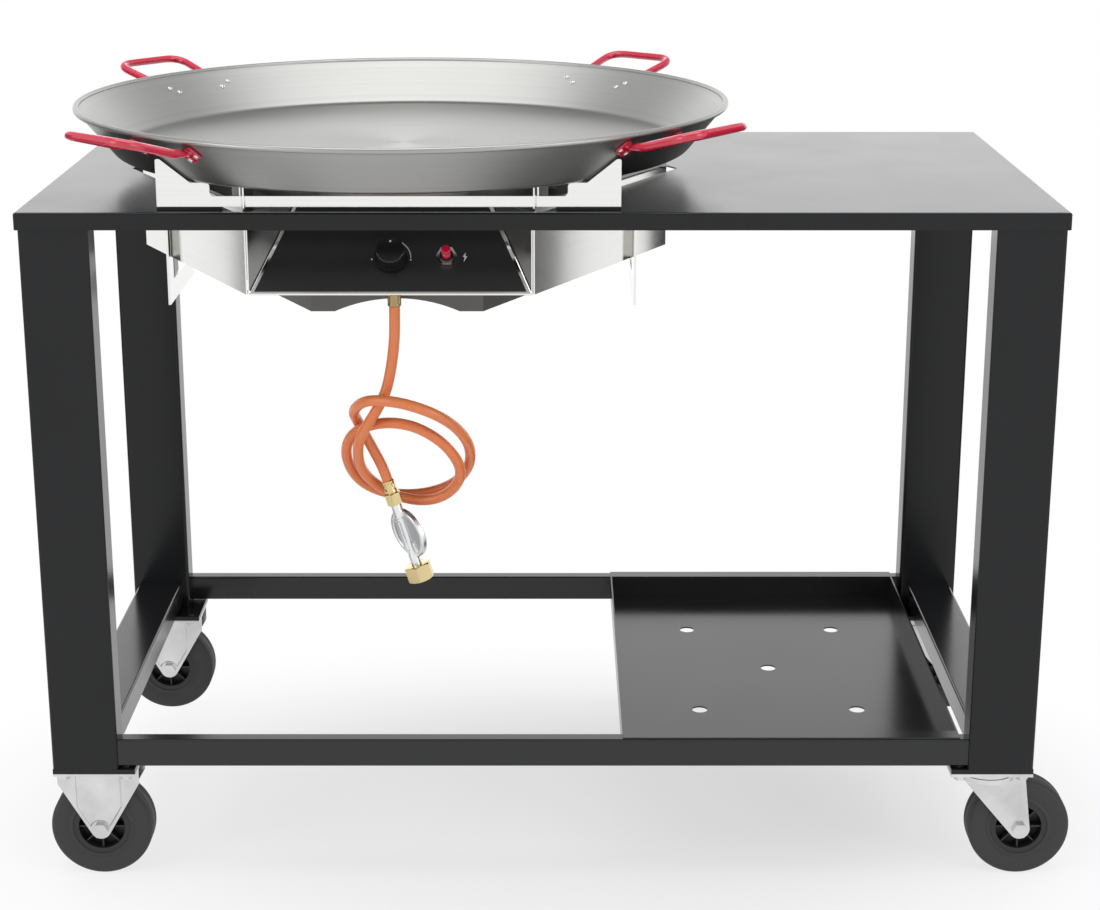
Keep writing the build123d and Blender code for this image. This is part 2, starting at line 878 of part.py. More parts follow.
# Control box: sloping front sheet between two upright cheeks, with a lip along the bottom between the walls
front_half = hex_corner / 2 - cheek_inset
wall_cos = math.cos(math.radians(30))
lip_front_half = (housing_inner - (housing_apothem - housing_sheet) / 2) / wall_cos
lip_back_half = (housing_inner - (housing_apothem - panel_lip) / 2) / wall_cos
cheek_narrowing = cheek_slope * panel_normal[2]
with BuildPart() as control_box:
    with BuildSketch(panel_plane):
        Polygon(
            (-front_half, 0),
            (front_half, 0),
            (front_half - cheek_narrowing * panel_length, panel_length),
            (cheek_narrowing * panel_length - front_half, panel_length),
            align=None,
        )
        with Locations((0, control_row)):
            Circle(tap_bush / 2 + seat_gap, mode=Mode.SUBTRACT)
        with Locations((igniter_offset, control_row)):
            Circle(piezo_neck / 2 + seat_gap, mode=Mode.SUBTRACT)
    extrude(amount=-housing_sheet)
    for across in sides.values():
        with BuildSketch(Plane.XY.offset(housing_bottom)):
            with Locations((grill_x, -housing_apothem)):
                Polygon(
                    (across * front_half, 0),
                    (across * (front_half - housing_sheet), 0),
                    (across * (front_half - housing_sheet - cheek_slope * panel_back), panel_back),
                    (across * (front_half - cheek_slope * panel_back), panel_back),
                    align=None,
                )
        extrude(amount=panel_rise)
    with BuildSketch(Plane.XY.offset(housing_bottom)):
        with Locations((grill_x, -housing_apothem)):
            Polygon(
                (-front_half, 0),
                (front_half, 0),
                (lip_front_half, housing_sheet),
                (lip_back_half, panel_lip),
                (-lip_back_half, panel_lip),
                (-lip_front_half, housing_sheet),
                align=None,
            )
    extrude(amount=housing_sheet)
write(control_box, "control_box")

# Black front plate on the control box
fascia_bottom = front_half - housing_sheet - fascia_margin
with BuildPart() as fascia:
    with BuildSketch(panel_plane):
        Polygon(
            (cheek_narrowing * fascia_margin - fascia_bottom, fascia_margin),
            (fascia_bottom - cheek_narrowing * fascia_margin, fascia_margin),
            (fascia_bottom - cheek_narrowing * (panel_length - fascia_margin), panel_length - fascia_margin),
            (cheek_narrowing * (panel_length - fascia_margin) - fascia_bottom, panel_length - fascia_margin),
            align=None,
        )
        with Locations((0, control_row)):
            Circle(tap_bush / 2 + seat_gap, mode=Mode.SUBTRACT)
        with Locations((igniter_offset, control_row)):
            Circle(piezo_neck / 2 + seat_gap, mode=Mode.SUBTRACT)
    extrude(amount=fascia_sheet)
write(fascia, "control_fascia")


def control_plane(x, height=0):
    """Plane at a control on the sloping front, with its normal out of the front."""
    middle = panel_plane.from_local_coords((x, control_row, height))
    return Plane(origin=middle, x_dir=(1, 0, 0), z_dir=panel_normal)


# Gas tap behind the front, its bush through the front, an inlet below and an outlet block behind
tap_bore = spindle_diameter / 2 + running_clearance
inlet_top = hose_top + ferrule_length + inlet_nut_height
with BuildPart() as tap:
    with BuildSketch(control_plane(0, -housing_sheet)):
        Circle(tap_diameter / 2)
    extrude(amount=-tap_length)
    with BuildSketch(control_plane(0, -housing_sheet)):
        Circle(tap_bush / 2)
    extrude(amount=tap_bush_length)
    with Locations((grill_x, jet_axis_y, jet_axis_z)):
        Box(tap_block, tap_block_length, tap_block)
    with BuildSketch(Plane.XY.offset(inlet_top)):
        with Locations((grill_x + hose_x, hose_y)):
            Circle(ferrule_diameter / 2)
    extrude(until=Until.NEXT)
    with BuildSketch(control_plane(0, tap_bush_length - housing_sheet)):
        Circle(tap_bore)
    extrude(amount=-(tap_bush_length + spindle_depth), mode=Mode.SUBTRACT)
write(tap, "gas_tap")

with BuildPart() as spindle:
    spindle_bottom = tap_bush_length - housing_sheet - spindle_depth
    with BuildSketch(control_plane(0, spindle_bottom)):
        Circle(spindle_diameter / 2)
    extrude(amount=spindle_depth + spindle_reach)
write(spindle, "tap_spindle")

# Knob: a skirt and a fluted grip, bored for the spindle and hollowed below to clear the bush when pushed
bush_top = tap_bush_length - housing_sheet
spindle_top = bush_top + spindle_reach
knob_base = fascia_sheet + knob_gap
with BuildPart() as knob:
    with BuildSketch(control_plane(0, knob_base)):
        Circle(knob_diameter / 2)
    extrude(amount=knob_skirt)
    with BuildSketch(control_plane(0, knob_base + knob_skirt)):
        Circle(knob_diameter / 2 - knob_wall / 2)
        with PolarLocations(knob_diameter / 2 + knob_wall, knob_grips, start_angle=180 / knob_grips):
            Circle(knob_wall * 1.6, mode=Mode.SUBTRACT)
    extrude(amount=knob_height - knob_skirt)
    knob_front = knob.faces().sort_by(Axis((0, 0, 0), panel_normal))[-1]
    fillet(knob_front.edges(), knob_skirt / 2)
    with BuildSketch(control_plane(0, knob_base)):
        Circle(knob_recess / 2)
    extrude(amount=bush_top - fascia_sheet, mode=Mode.SUBTRACT)
    with BuildSketch(control_plane(0, knob_base)):
        Circle(spindle_diameter / 2 + running_clearance)
    extrude(amount=spindle_top - knob_base + seat_gap, mode=Mode.SUBTRACT)
write(knob, "control_knob")

# Jet between the tap and the mixing tube
jet_start = jet_axis_y + tap_block_length / 2
with BuildPart() as jet:
    with BuildSketch(Plane.XZ.offset(-jet_start)):
        with Locations((grill_x, jet_axis_z)):
            Circle(jet_diameter / 2)
    extrude(amount=-jet_length)
    with BuildSketch(Plane.XZ.offset(-jet_start - jet_length)):
        with Locations((grill_x, jet_axis_z)):
            Circle(jet_nozzle / 2)
    extrude(amount=-jet_nozzle_length)
write(jet, "gas_jet")

# Piezo igniter: body behind the front, neck through it, nut on it and a sprung button in the neck
button_bore = button_diameter / 2 + running_clearance
piezo_plane = control_plane(igniter_offset)
with BuildPart() as piezo:
    with BuildSketch(piezo_plane.offset(-housing_sheet)):
        Circle(piezo_diameter / 2)
    extrude(amount=-piezo_length)
    with BuildSketch(piezo_plane.offset(-housing_sheet)):
        Circle(piezo_neck / 2)
    extrude(amount=housing_sheet + piezo_neck_rise)
    with BuildSketch(piezo_plane.offset(piezo_neck_rise)):
        Circle(button_bore)
    extrude(amount=-(piezo_neck_rise + 2 * button_depth), mode=Mode.SUBTRACT)
write(piezo, "piezo_body")

with BuildPart() as nut:
    with BuildSketch(piezo_plane.offset(fascia_sheet)):
        RegularPolygon(piezo_nut / 2, 6, major_radius=False)
        Circle(piezo_neck / 2 + running_clearance, mode=Mode.SUBTRACT)
    extrude(amount=piezo_nut_height)
write(nut, "piezo_nut")

with BuildPart() as button:
    with BuildSketch(piezo_plane.offset(-button_depth)):
        Circle(button_diameter / 2)
    extrude(amount=button_depth + button_rise)
    button_face = button.faces().sort_by(Axis((0, 0, 0), panel_normal))[-1]
    fillet(button_face.edges(), button_diameter * 0.12)
write(button, "igniter_button")

# Burner: two drilled rings on four arms, with posts down to the floor sheet
ring_bottom = table_height - burner_drop
arm_bottom = ring_bottom - arm_height
arm_reach = (outer_ring_diameter + ring_width) / 2
for ring_name, ring_diameter in (
    ("burner_outer_ring", outer_ring_diameter),
    ("burner_inner_ring", inner_ring_diameter),
):
    ports = round(math.pi * ring_diameter / port_spacing)
    with BuildPart() as ring:
        with BuildSketch(Plane.XY.offset(ring_bottom)):
            with Locations((grill_x, 0)):
                Circle((ring_diameter + ring_width) / 2)
                Circle((ring_diameter - ring_width) / 2, mode=Mode.SUBTRACT)
        extrude(amount=ring_height)
        with BuildSketch(Plane.XY.offset(ring_bottom + ring_wall)):
            with Locations((grill_x, 0)):
                Circle((ring_diameter + ring_width) / 2 - ring_wall)
                Circle((ring_diameter - ring_width) / 2 + ring_wall, mode=Mode.SUBTRACT)
        extrude(amount=ring_height - 2 * ring_wall, mode=Mode.SUBTRACT)
        with BuildSketch(Plane.XY.offset(ring_bottom + ring_height)):
            with Locations((grill_x, 0)):
                with PolarLocations(ring_diameter / 2, ports):
                    Circle(port_diameter / 2)
        extrude(amount=-ring_wall, mode=Mode.SUBTRACT)
    write(ring, ring_name)

probe_y = -probe_offset
with BuildPart() as arms:
    with BuildSketch(Plane.XY.offset(arm_bottom)):
        with Locations((grill_x, 0)):
            Circle(burner_hub / 2)
            Rectangle(2 * arm_reach, arm_width)
            Rectangle(arm_width, 2 * arm_reach)
    extrude(amount=arm_height)
    with BuildSketch(Plane.XY.offset(floor_top)):
        with Locations((grill_x, 0)):
            with PolarLocations(outer_ring_diameter / 2, 4):
                Rectangle(burner_post, burner_post)
    extrude(amount=arm_bottom - floor_top)
    with BuildSketch(Plane.XY.offset(ring_bottom)):
        with Locations((grill_x, probe_y)):
            Rectangle(probe_tab_length, probe_tab_width)
        with Locations((grill_x + probe_spread, probe_y)):
            Circle(thermocouple_diameter / 2 + running_clearance, mode=Mode.SUBTRACT)
        with Locations((grill_x - probe_spread, probe_y)):
            Circle(electrode_diameter / 2 + running_clearance, mode=Mode.SUBTRACT)
    extrude(amount=probe_tab_thickness)
write(arms, "burner_arms")

# Mixing tube: a bell round the jet, a straight tube, and a riser under the burner's hub
bell_start = jet_start + jet_length + jet_nozzle_length - mixing_bell_overlap
with BuildPart() as mixer:
    with BuildSketch(Plane.XZ.offset(-bell_start - mixing_bell_length)):
        with Locations((grill_x, jet_axis_z)):
            Circle(mixing_diameter / 2)
    extrude(amount=bell_start + mixing_bell_length)
    with BuildSketch(Plane.XZ.offset(-bell_start)):
        with Locations((grill_x, jet_axis_z)):
            Circle(mixing_bell / 2)
    with BuildSketch(Plane.XZ.offset(-bell_start - mixing_bell_length)):
        with Locations((grill_x, jet_axis_z)):
            Circle(mixing_diameter / 2)
    loft()
    with BuildSketch(Plane.XY.offset(arm_bottom)):
        with Locations((grill_x, 0)):
            Circle(riser_diameter / 2)
    extrude(amount=-(arm_bottom - jet_axis_z + riser_foot))
    with BuildSketch(Plane.XZ.offset(-bell_start)):
        with Locations((grill_x, jet_axis_z)):
            Circle(mixing_diameter / 2 - mixing_wall)
    extrude(amount=bell_start, mode=Mode.SUBTRACT)
    with BuildSketch(Plane.XY.offset(arm_bottom)):
        with Locations((grill_x, 0)):
            Circle(riser_diameter / 2 - mixing_wall)
    extrude(amount=-(arm_bottom - jet_axis_z), mode=Mode.SUBTRACT)
write(mixer, "mixing_tube")

# Flame sensor and spark electrode, standing in the tab on the front arm
tab_top = ring_bottom + probe_tab_thickness
with BuildPart() as thermocouple:
    with BuildSketch(Plane.XY.offset(ring_bottom + ring_height + probe_top / 3)):
        with Locations((grill_x + probe_spread, probe_y)):
            Circle(thermocouple_diameter / 2)
    extrude(amount=-thermocouple_length)
    with BuildSketch(Plane.XY.offset(tab_top)):
        with Locations((grill_x + probe_spread, probe_y)):
            Circle(probe_collar / 2)
    extrude(amount=probe_collar_height)
write(thermocouple, "thermocouple")

with BuildPart() as electrode:
    with BuildSketch(Plane.XY.offset(tab_top + electrode_length / 3)):
        with Locations((grill_x - probe_spread, probe_y)):
            Circle(electrode_diameter / 2)
    extrude(amount=-electrode_length)
    with BuildSketch(Plane.XY.offset(tab_top)):
        with Locations((grill_x - probe_spread, probe_y)):
            Circle(probe_collar / 2)
    extrude(amount=probe_collar_height)
    with BuildSketch(Plane.XY.offset(tab_top + electrode_length / 3)):
        with Locations((grill_x - probe_spread, probe_y)):
            Circle(electrode_tip / 2)
    extrude(amount=probe_top - electrode_length / 6)
write(electrode, "spark_electrode")

# Pan: flat base, flared wall and a rolled rim
pan_axis = Axis((grill_x, 0, 0), (0, 0, 1))
wall_length = math.hypot(pan_rim_radius - pan_base_radius, pan_depth)
wall_out = pan_depth / wall_length
wall_down = (pan_rim_radius - pan_base_radius) / wall_length
bend_inset = pan_sheet * math.tan(math.acos(wall_down) / 2)
with BuildPart() as pan:
    with BuildSketch(Plane.XZ) as section:
        with Locations((grill_x, pan_bottom)):
            Polygon(
                (0, 0),
                (pan_base_radius, 0),
                (pan_rim_radius, pan_depth),
                (pan_rim_radius - pan_sheet * wall_out, pan_depth + pan_sheet * wall_down),
                (pan_base_radius - bend_inset, pan_sheet),
                (0, pan_sheet),
                align=None,
            )
        fillet(section.vertices().sort_by_distance((grill_x + pan_base_radius, pan_bottom))[0], pan_corner)
        inner_corner = (grill_x + pan_base_radius - bend_inset, pan_bottom + pan_sheet)
        fillet(section.vertices().sort_by_distance(inner_corner)[0], pan_corner - pan_sheet)
        with Locations((grill_x + pan_rim_radius, pan_bottom + pan_depth)):
            Circle(pan_bead)
    revolve(axis=pan_axis)

# Handle lugs stand square on the pan's wall
handle_angles = [handle_start_angle + 360 / handle_count * i for i in range(handle_count)]


def pan_point(angle, radial, tangential, height):
    """Point given outwards along an angle, sideways from it and up from the pan's base."""
    c = math.cos(math.radians(angle))
    s = math.sin(math.radians(angle))
    return Vector(grill_x + radial * c - tangential * s, radial * s + tangential * c, pan_bottom + height)


def lug_plane(angle, across):
    """Plane on the pan's wall under one end of a handle, turned to the lug's tilt."""
    radius = pan_radius(handle_lug_height)
    turn = math.degrees(math.asin(across * handle_lug_spread / radius))
    out = Vector(math.cos(math.radians(angle + turn)), math.sin(math.radians(angle + turn)), 0)
    normal = out * wall_out + Vector(0, 0, -wall_down)
    sideways = Vector(0, 0, 1).cross(out)
    upwards = normal.cross(sideways)
    tilt = math.radians(across * lug_tilt)
    return Plane(
        origin=pan_point(angle + turn, radius, 0, handle_lug_height),
        x_dir=sideways * math.cos(tilt) + upwards * math.sin(tilt),
        z_dir=normal,
    )


lug_planes = [lug_plane(angle, across) for angle in handle_angles for across in (-1, 1)]
rivet_places = [(-rivet_spread, -rivet_drop), (rivet_spread, -rivet_drop)]
with BuildPart() as drilled_pan:
    add(pan.part)
    for plane in lug_planes:
        with BuildSketch(plane.offset(pan_corner)):
            with Locations(*rivet_places):
                Circle(rivet_diameter / 2 + running_clearance)
        extrude(amount=-2 * pan_corner, mode=Mode.SUBTRACT)
write(drilled_pan, "paella_pan")

# Handles: one bent rod each, with a flat lug at both ends
rod_stand = handle_rod * 0.46
with BuildPart() as handles:
    for angle in handle_angles:
        lugs = [lug_plane(angle, across) for across in (-1, 1)]
        starts = [lug.origin + lug.y_dir * rod_seat + lug.z_dir * rod_stand for lug in lugs]
        knees = [
            pan_point(
                angle,
                pan_rim_radius + handle_knee_out,
                across * handle_knee_half,
                pan_depth - handle_knee_drop,
            )
            for across in (-1, 1)
        ]
        corners = [
            pan_point(
                angle,
                pan_rim_radius + handle_out,
                across * handle_grip_half,
                pan_depth + handle_rim_rise,
            )
            for across in (-1, 1)
        ]
        with BuildLine() as rod_line:
            FilletPolyline(
                starts[0],
                knees[0],
                corners[0],
                corners[1],
                knees[1],
                starts[1],
                radius=[handle_knee_bend, handle_bend, handle_bend, handle_knee_bend],
            )
        with BuildSketch(Plane(origin=rod_line.line @ 0, z_dir=rod_line.line % 0)):
            Circle(handle_rod / 2)
        sweep(path=rod_line.line)
    for plane in lug_planes:
        with BuildSketch(plane):
            RectangleRounded(lug_length, lug_width, lug_corner)
            with Locations(*rivet_places):
                Circle(rivet_diameter / 2 + running_clearance, mode=Mode.SUBTRACT)
        extrude(amount=lug_thickness)
write(handles, "pan_handles")

# Rivets through the wall and the lugs
with BuildPart() as rivets:
    for plane in lug_planes:
        with BuildSketch(plane.offset(lug_thickness)):
            with Locations(*rivet_places):
                Circle(rivet_head / 2)
        extrude(amount=rivet_head_height)
        with BuildSketch(plane.offset(lug_thickness)):
            with Locations(*rivet_places):
                Circle(rivet_diameter / 2)
        extrude(amount=-(lug_thickness + pan_sheet + 2 * seat_gap))
        with BuildSketch(plane.offset(-pan_sheet - 2 * seat_gap)):
            with Locations(*rivet_places):
                Circle(rivet_head / 2)
        extrude(amount=-rivet_head_height)
write(rivets, "pan_rivets")

# Crimped top end of the hose, screwed to the tap's inlet
hose_start = Vector(grill_x + hose_x, hose_y, hose_top)
with BuildPart() as top_ferrule:
    with BuildSketch(Plane.XY.offset(hose_top)):
        with Locations((hose_start.X, hose_start.Y)):
            Circle(ferrule_diameter / 2)
    extrude(amount=ferrule_length)
    with BuildSketch(Plane.XY.offset(hose_top + ferrule_length)):
        with Locations((hose_start.X, hose_start.Y)):
            RegularPolygon(inlet_nut / 2, 6, major_radius=False)
    extrude(amount=inlet_nut_height)
write(top_ferrule, "hose_top_ferrule")

# Hose: straight runs joined by arcs as large as the runs allow
hose_points = [hose_start + Vector(*step) for step in hose_route]
hose_radii = []
for before, corner, after in zip(hose_points, hose_points[1:], hose_points[2:]):
    shorter_run = min((corner - before).length, (after - corner).length)
    turn = (corner - before).get_angle(after - corner)
    hose_radii.append(0.45 * shorter_run / math.tan(math.radians(turn / 2)))
with BuildPart() as hose:
    with BuildLine():
        hose_path = FilletPolyline(*hose_points, radius=hose_radii)
    with BuildSketch(Plane(origin=hose_path @ 0, z_dir=hose_path % 0)):
        Circle(hose_diameter / 2)
    sweep(path=hose_path)
write(hose, "gas_hose")

section_area = math.pi * hose_diameter**2 / 4
samples = [hose_path @ (i / 600) for i in range(601)]
apart = int(600 * 6 * hose_diameter / hose_path.length)
least_gap = min(
    (samples[i] - samples[j]).length - hose_diameter
    for i in range(0, 601, 2)
    for j in range(i + apart, 601, 2)
)
print("hose radii", [round(radius) for radius in hose_radii])
print("hose runs", [round((b - a).length) for a, b in zip(hose_points, hose_points[1:])])
print("hose length", round(hose_path.length, 1))
print("hose volume ratio", round(hose.part.volume / (section_area * hose_path.length), 4))
print("hose least gap to itself", round(least_gap, 2))

# Regulator on the hose's lower end, hanging along a leaning axis
hang = (hose_points[-1] - hose_points[-2]).normalized()
end_plane = Plane(origin=hose_points[-1], x_dir=(0, 1, 0), z_dir=hang)
with BuildPart() as end_fitting:
    with BuildSketch(end_plane):
        Circle(end_ferrule_diameter / 2)
    extrude(amount=end_ferrule_length)
    with BuildSketch(end_plane.offset(end_ferrule_length)):
        RegularPolygon(end_nut / 2, 6, major_radius=False)
    extrude(amount=end_nut_length)
write(end_fitting, "hose_end_fitting")

tube_start = end_ferrule_length + end_nut_length
turn = math.radians(regulator_disc_turn)
disc_side = hang.cross(Vector(0, 1, 0))
disc_normal = Vector(0, -1, 0) * math.cos(turn) + disc_side * math.sin(turn)
disc_middle = end_plane.offset(regulator_disc_place).origin - disc_normal * regulator_disc_setback
disc_plane = Plane(origin=disc_middle, x_dir=hang, z_dir=disc_normal)
collar_start = union_nut_start + union_nut_roof + seat_gap
with BuildPart() as regulator:
    with BuildSketch(disc_plane.offset(-regulator_disc_thickness / 2)):
        Circle(regulator_disc / 2)
    extrude(amount=regulator_disc_thickness)
    for face in (-1, 1):
        with BuildSketch(disc_plane.offset(face * regulator_disc_thickness / 2)):
            Circle(regulator_disc / 2 - regulator_rim)
        extrude(amount=-face * regulator_face_drop, mode=Mode.SUBTRACT)
    with BuildSketch(disc_plane):
        Rectangle(regulator_bar_length, regulator_bar_width)
    extrude(amount=regulator_disc_setback + regulator_tube / 2 + regulator_bar_height)
    with BuildSketch(end_plane.offset(tube_start)):
        Circle(regulator_tube / 2)
    extrude(amount=collar_start - tube_start)
    with BuildSketch(end_plane.offset(collar_start)):
        Circle(regulator_collar / 2)
    extrude(amount=regulator_collar_length)
write(regulator, "regulator_body")

with BuildPart() as union:
    with BuildSketch(end_plane.offset(union_nut_start)):
        RegularPolygon(union_nut / 2, 6, major_radius=False)
        Circle(regulator_tube / 2 + running_clearance, mode=Mode.SUBTRACT)
    extrude(amount=union_nut_roof)
    with BuildSketch(end_plane.offset(union_nut_start + union_nut_roof)):
        RegularPolygon(union_nut / 2, 6, major_radius=False)
        Circle(regulator_collar / 2 + union_nut_side_play, mode=Mode.SUBTRACT)
    recess = regulator_collar_length + union_nut_end_play
    extrude(amount=recess)
    thread_start = union_nut_roof + recess
    with BuildSketch(end_plane.offset(union_nut_start + thread_start)):
        RegularPolygon(union_nut / 2, 6, major_radius=False)
        Circle(union_nut_bore / 2, mode=Mode.SUBTRACT)
    extrude(amount=union_nut_length - thread_start)
write(union, "regulator_nut")
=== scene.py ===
"""Looks for a paella gas grill on a wheeled trolley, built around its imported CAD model."""

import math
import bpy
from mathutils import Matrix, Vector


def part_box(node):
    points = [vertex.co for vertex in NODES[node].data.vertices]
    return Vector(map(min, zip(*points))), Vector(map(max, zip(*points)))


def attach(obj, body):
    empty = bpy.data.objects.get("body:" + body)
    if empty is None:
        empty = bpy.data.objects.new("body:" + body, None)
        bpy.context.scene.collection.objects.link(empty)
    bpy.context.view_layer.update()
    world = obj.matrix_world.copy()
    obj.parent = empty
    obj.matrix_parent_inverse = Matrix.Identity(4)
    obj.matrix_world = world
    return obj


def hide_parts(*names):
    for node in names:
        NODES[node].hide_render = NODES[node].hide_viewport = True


bl_info = {
    "name": "Paella gas grill looks",
    "version": (1, 0, 0),
    "blender": (4, 5, 0),
    "location": "View3D > Sidebar > Gas grill",
    "description": "Finishes, hose, pan and studio for a paella gas grill on a wheeled trolley",
    "category": "Object",
}

import bmesh
import bpy
from mathutils import Matrix, Vector

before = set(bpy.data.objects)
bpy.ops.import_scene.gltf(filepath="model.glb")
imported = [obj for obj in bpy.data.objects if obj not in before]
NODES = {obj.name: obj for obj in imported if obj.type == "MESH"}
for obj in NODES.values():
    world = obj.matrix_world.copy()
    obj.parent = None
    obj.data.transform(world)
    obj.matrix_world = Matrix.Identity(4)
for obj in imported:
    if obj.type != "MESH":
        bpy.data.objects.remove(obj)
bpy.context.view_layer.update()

# Directions in the shared frame
RIGHT = Vector((1, 0, 0))
BACK = Vector((0, 1, 0))
UP = Vector((0, 0, 1))

# Places taken from the CAD model, in metres, and the slope of its control panel
PAN_LOW, PAN_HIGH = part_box("paella_pan")
PAN_CENTRE = Vector(((PAN_LOW.x + PAN_HIGH.x) / 2, (PAN_LOW.y + PAN_HIGH.y) / 2, PAN_LOW.z))
PANEL_FOOT = Vector((PAN_CENTRE.x, -0.286, 0.742))
PANEL_NORMAL = Vector((0, -0.8, 0.6))
PANEL_UP = Vector((0, 0.6, 0.8))
KNOB_ROW = 0.046
HOSE_EXIT = Vector((-0.194, -0.252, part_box("hose_top_ferrule")[0].z))

# Printed marks, in metres: how far out of the panel they lie, just clear of its front plate, and thickness
PRINT_LEVEL = 0.00101
PRINT_THICKNESS = 0.0003

# Handles and rivets, in metres: lugs lie between WALL_GAP and LUG_FACE out from the pan's wall
WALL_GAP = 0.0001
LUG_FACE = 0.003
ROD_END_HALF_WIDTH = 0.0085
ROD_END_HALF_THICKNESS = 0.0017
RIVET_SPREAD = 0.0075
RIVET_DROP = 0.004
RIVET_HEAD = 0.0035
RIVET_SHANK = 0.0025

# Studio, in metres: camera, grey cards beside the pan and half the floor's width
CAMERA_PLACE = (-0.0126, -2.75, 1.31)
CARD_AWAY = 1.3
CARD_FRONT = -0.3
CARD_TOP = 1.2
FLOOR_REACH = 30

# Route of the hose below its exit: right, back and up, in metres
HOSE_ROUTE = (
    (0, 0, 0),
    (0, 0, -0.018),
    (-0.001, 0.001, -0.044),
    (-0.006, 0.002, -0.08),
    (-0.013, 0, -0.108),
    (-0.03, 0.001, -0.138),
    (-0.046, 0.013, -0.164),
    (-0.051, 0.036, -0.194),
    (-0.047, 0.062, -0.224),
    (-0.027, 0.08, -0.249),
    (0.001, 0.083, -0.264),
    (0.035, 0.076, -0.265),
    (0.063, 0.062, -0.247),
    (0.076, 0.04, -0.216),
    (0.064, 0.021, -0.184),
    (0.042, 0.009, -0.16),
    (0.013, 0.008, -0.146),
    (-0.02, 0.016, -0.146),
    (-0.052, 0.031, -0.16),
    (-0.066, 0.049, -0.185),
    (-0.066, 0.068, -0.213),
    (-0.054, 0.084, -0.241),
    (-0.027, 0.096, -0.26),
    (0.005, 0.101, -0.265),
    (0.037, 0.098, -0.26),
    (0.066, 0.084, -0.243),
    (0.084, 0.06, -0.214),
    (0.086, 0.03, -0.181),
    (0.074, 0.001, -0.151),
    (0.054, -0.021, -0.129),
    (0.028, -0.03, -0.115),
    (-0.002, -0.027, -0.108),
    (-0.037, -0.007, -0.112),
    (-0.054, 0.021, -0.133),
    (-0.051, 0.047, -0.153),
    (-0.034, 0.061, -0.193),
    (-0.022, 0.059, -0.216),
    (-0.017, 0.059, -0.232),
)
HOSE_END = HOSE_EXIT + Vector(HOSE_ROUTE[-1])
HANG = (Vector(HOSE_ROUTE[-1]) - Vector(HOSE_ROUTE[-2])).normalized()

# Distances below the hose's end, along the line that the regulator hangs on, in metres
SLEEVE_END = 0.017
TUBE_TOP = 0.032
NECK_END = 0.049
WAIST_TOP = 0.051
CASE_MIDDLE = 0.073
WAIST_END = 0.099
FOOT_TOP = 0.101
UNION_TOP = 0.114
RECESS_TOP = 0.119
COLLAR_TOP = 0.1191
COLLAR_END = 0.1231
THREAD_TOP = 0.1235
UNION_END = 0.134

# Radii of the fittings on the hose, in metres
SLEEVE = 0.008
SLEEVE_EDGE = 0.0073
NECK = 0.0065
WAIST = 0.0056
FOOT = 0.0063
COLLAR = 0.010
THREAD = 0.011
RECESS = 0.0105
FOOT_HOLE = 0.0066

# Regulator's case, in metres: depth of its sunk face, width of its raised rim, roundness of its edge
FACE_DEPTH = 0.0015
RIM_WIDTH = 0.006
RIM_ROUND = 0.002


def linear(hex_colour):
    """Linear RGB of an sRGB hex colour."""
    parts = [int(hex_colour[i : i + 2], 16) / 255 for i in (1, 3, 5)]
    return [p / 12.92 if p <= 0.04045 else ((p + 0.055) / 1.055) ** 2.4 for p in parts]


def add_node(tree, kind, inputs=None, **settings):
    """Add a node with its settings, and link or set its inputs."""
    made = tree.nodes.new(kind)
    for name, value in settings.items():
        setattr(made, name, value)
    for socket, value in (inputs or {}).items():
        if isinstance(value, bpy.types.NodeSocket):
            tree.links.new(value, made.inputs[socket])
        else:
            made.inputs[socket].default_value = value
    return made


class TrolleyFinish(bpy.types.PropertyGroup):
    """Finish of the worktop, legs, rails and tray."""

    coat_colour: bpy.props.FloatVectorProperty(
        name="Powder coat", description="Colour of the black powder coat", subtype="COLOR",
        default=linear("#1A1B1D"), min=0, max=1,
    )
    coat_roughness: bpy.props.FloatProperty(
        name="Coat roughness", description="Satin of the powder coat",
        default=0.2, min=0, max=1, subtype="FACTOR",
    )
    coat_sheen: bpy.props.FloatProperty(
        name="Coat sheen", description="Reflection of the top and legs",
        default=0.3, min=0, max=1, subtype="FACTOR",
    )
    low_sheen: bpy.props.FloatProperty(
        name="Low sheen", description="Reflection of the tray and rails",
        default=0.5, min=0, max=1, subtype="FACTOR",
    )
    peel_size: bpy.props.FloatProperty(
        name="Peel size", description="Width of the coat's fine dimples", default=0.003, unit="LENGTH",
    )


class CasterFinish(bpy.types.PropertyGroup):
    """Finish of the wheels and their brackets."""

    zinc_colour: bpy.props.FloatVectorProperty(
        name="Zinc plate", description="Colour of the bright zinc plate", subtype="COLOR",
        default=linear("#D3D3D3"), min=0, max=1,
    )
    tyre_colour: bpy.props.FloatVectorProperty(
        name="Tyre", description="Colour of the rubber tyres", subtype="COLOR",
        default=linear("#363637"), min=0, max=1,
    )
    hub_colour: bpy.props.FloatVectorProperty(
        name="Hub", description="Colour of the moulded hubs", subtype="COLOR",
        default=linear("#242425"), min=0, max=1,
    )
    shoulder: bpy.props.FloatProperty(
        name="Tyre shoulder", description="Radius between tread and side wall", default=0.006, unit="LENGTH",
    )
    groove: bpy.props.FloatProperty(
        name="Tread groove", description="Width and depth of the tread grooves", default=0.001, unit="LENGTH",
    )


class BurnerFinish(bpy.types.PropertyGroup):
    """Finish of the burner unit's sheet metal and burner."""

    sheet_colour: bpy.props.FloatVectorProperty(
        name="Stainless sheet", description="Colour of the stainless sheet", subtype="COLOR",
        default=linear("#F3F3F1"), min=0, max=1,
    )
    grain_spacing: bpy.props.FloatProperty(
        name="Grain spacing", description="Spacing of the sheet's rolling grain",
        default=0.0015, unit="LENGTH",
    )
    brass_colour: bpy.props.FloatVectorProperty(
        name="Brass", description="Colour of the brass fittings", subtype="COLOR",
        default=linear("#DCC895"), min=0, max=1,
    )


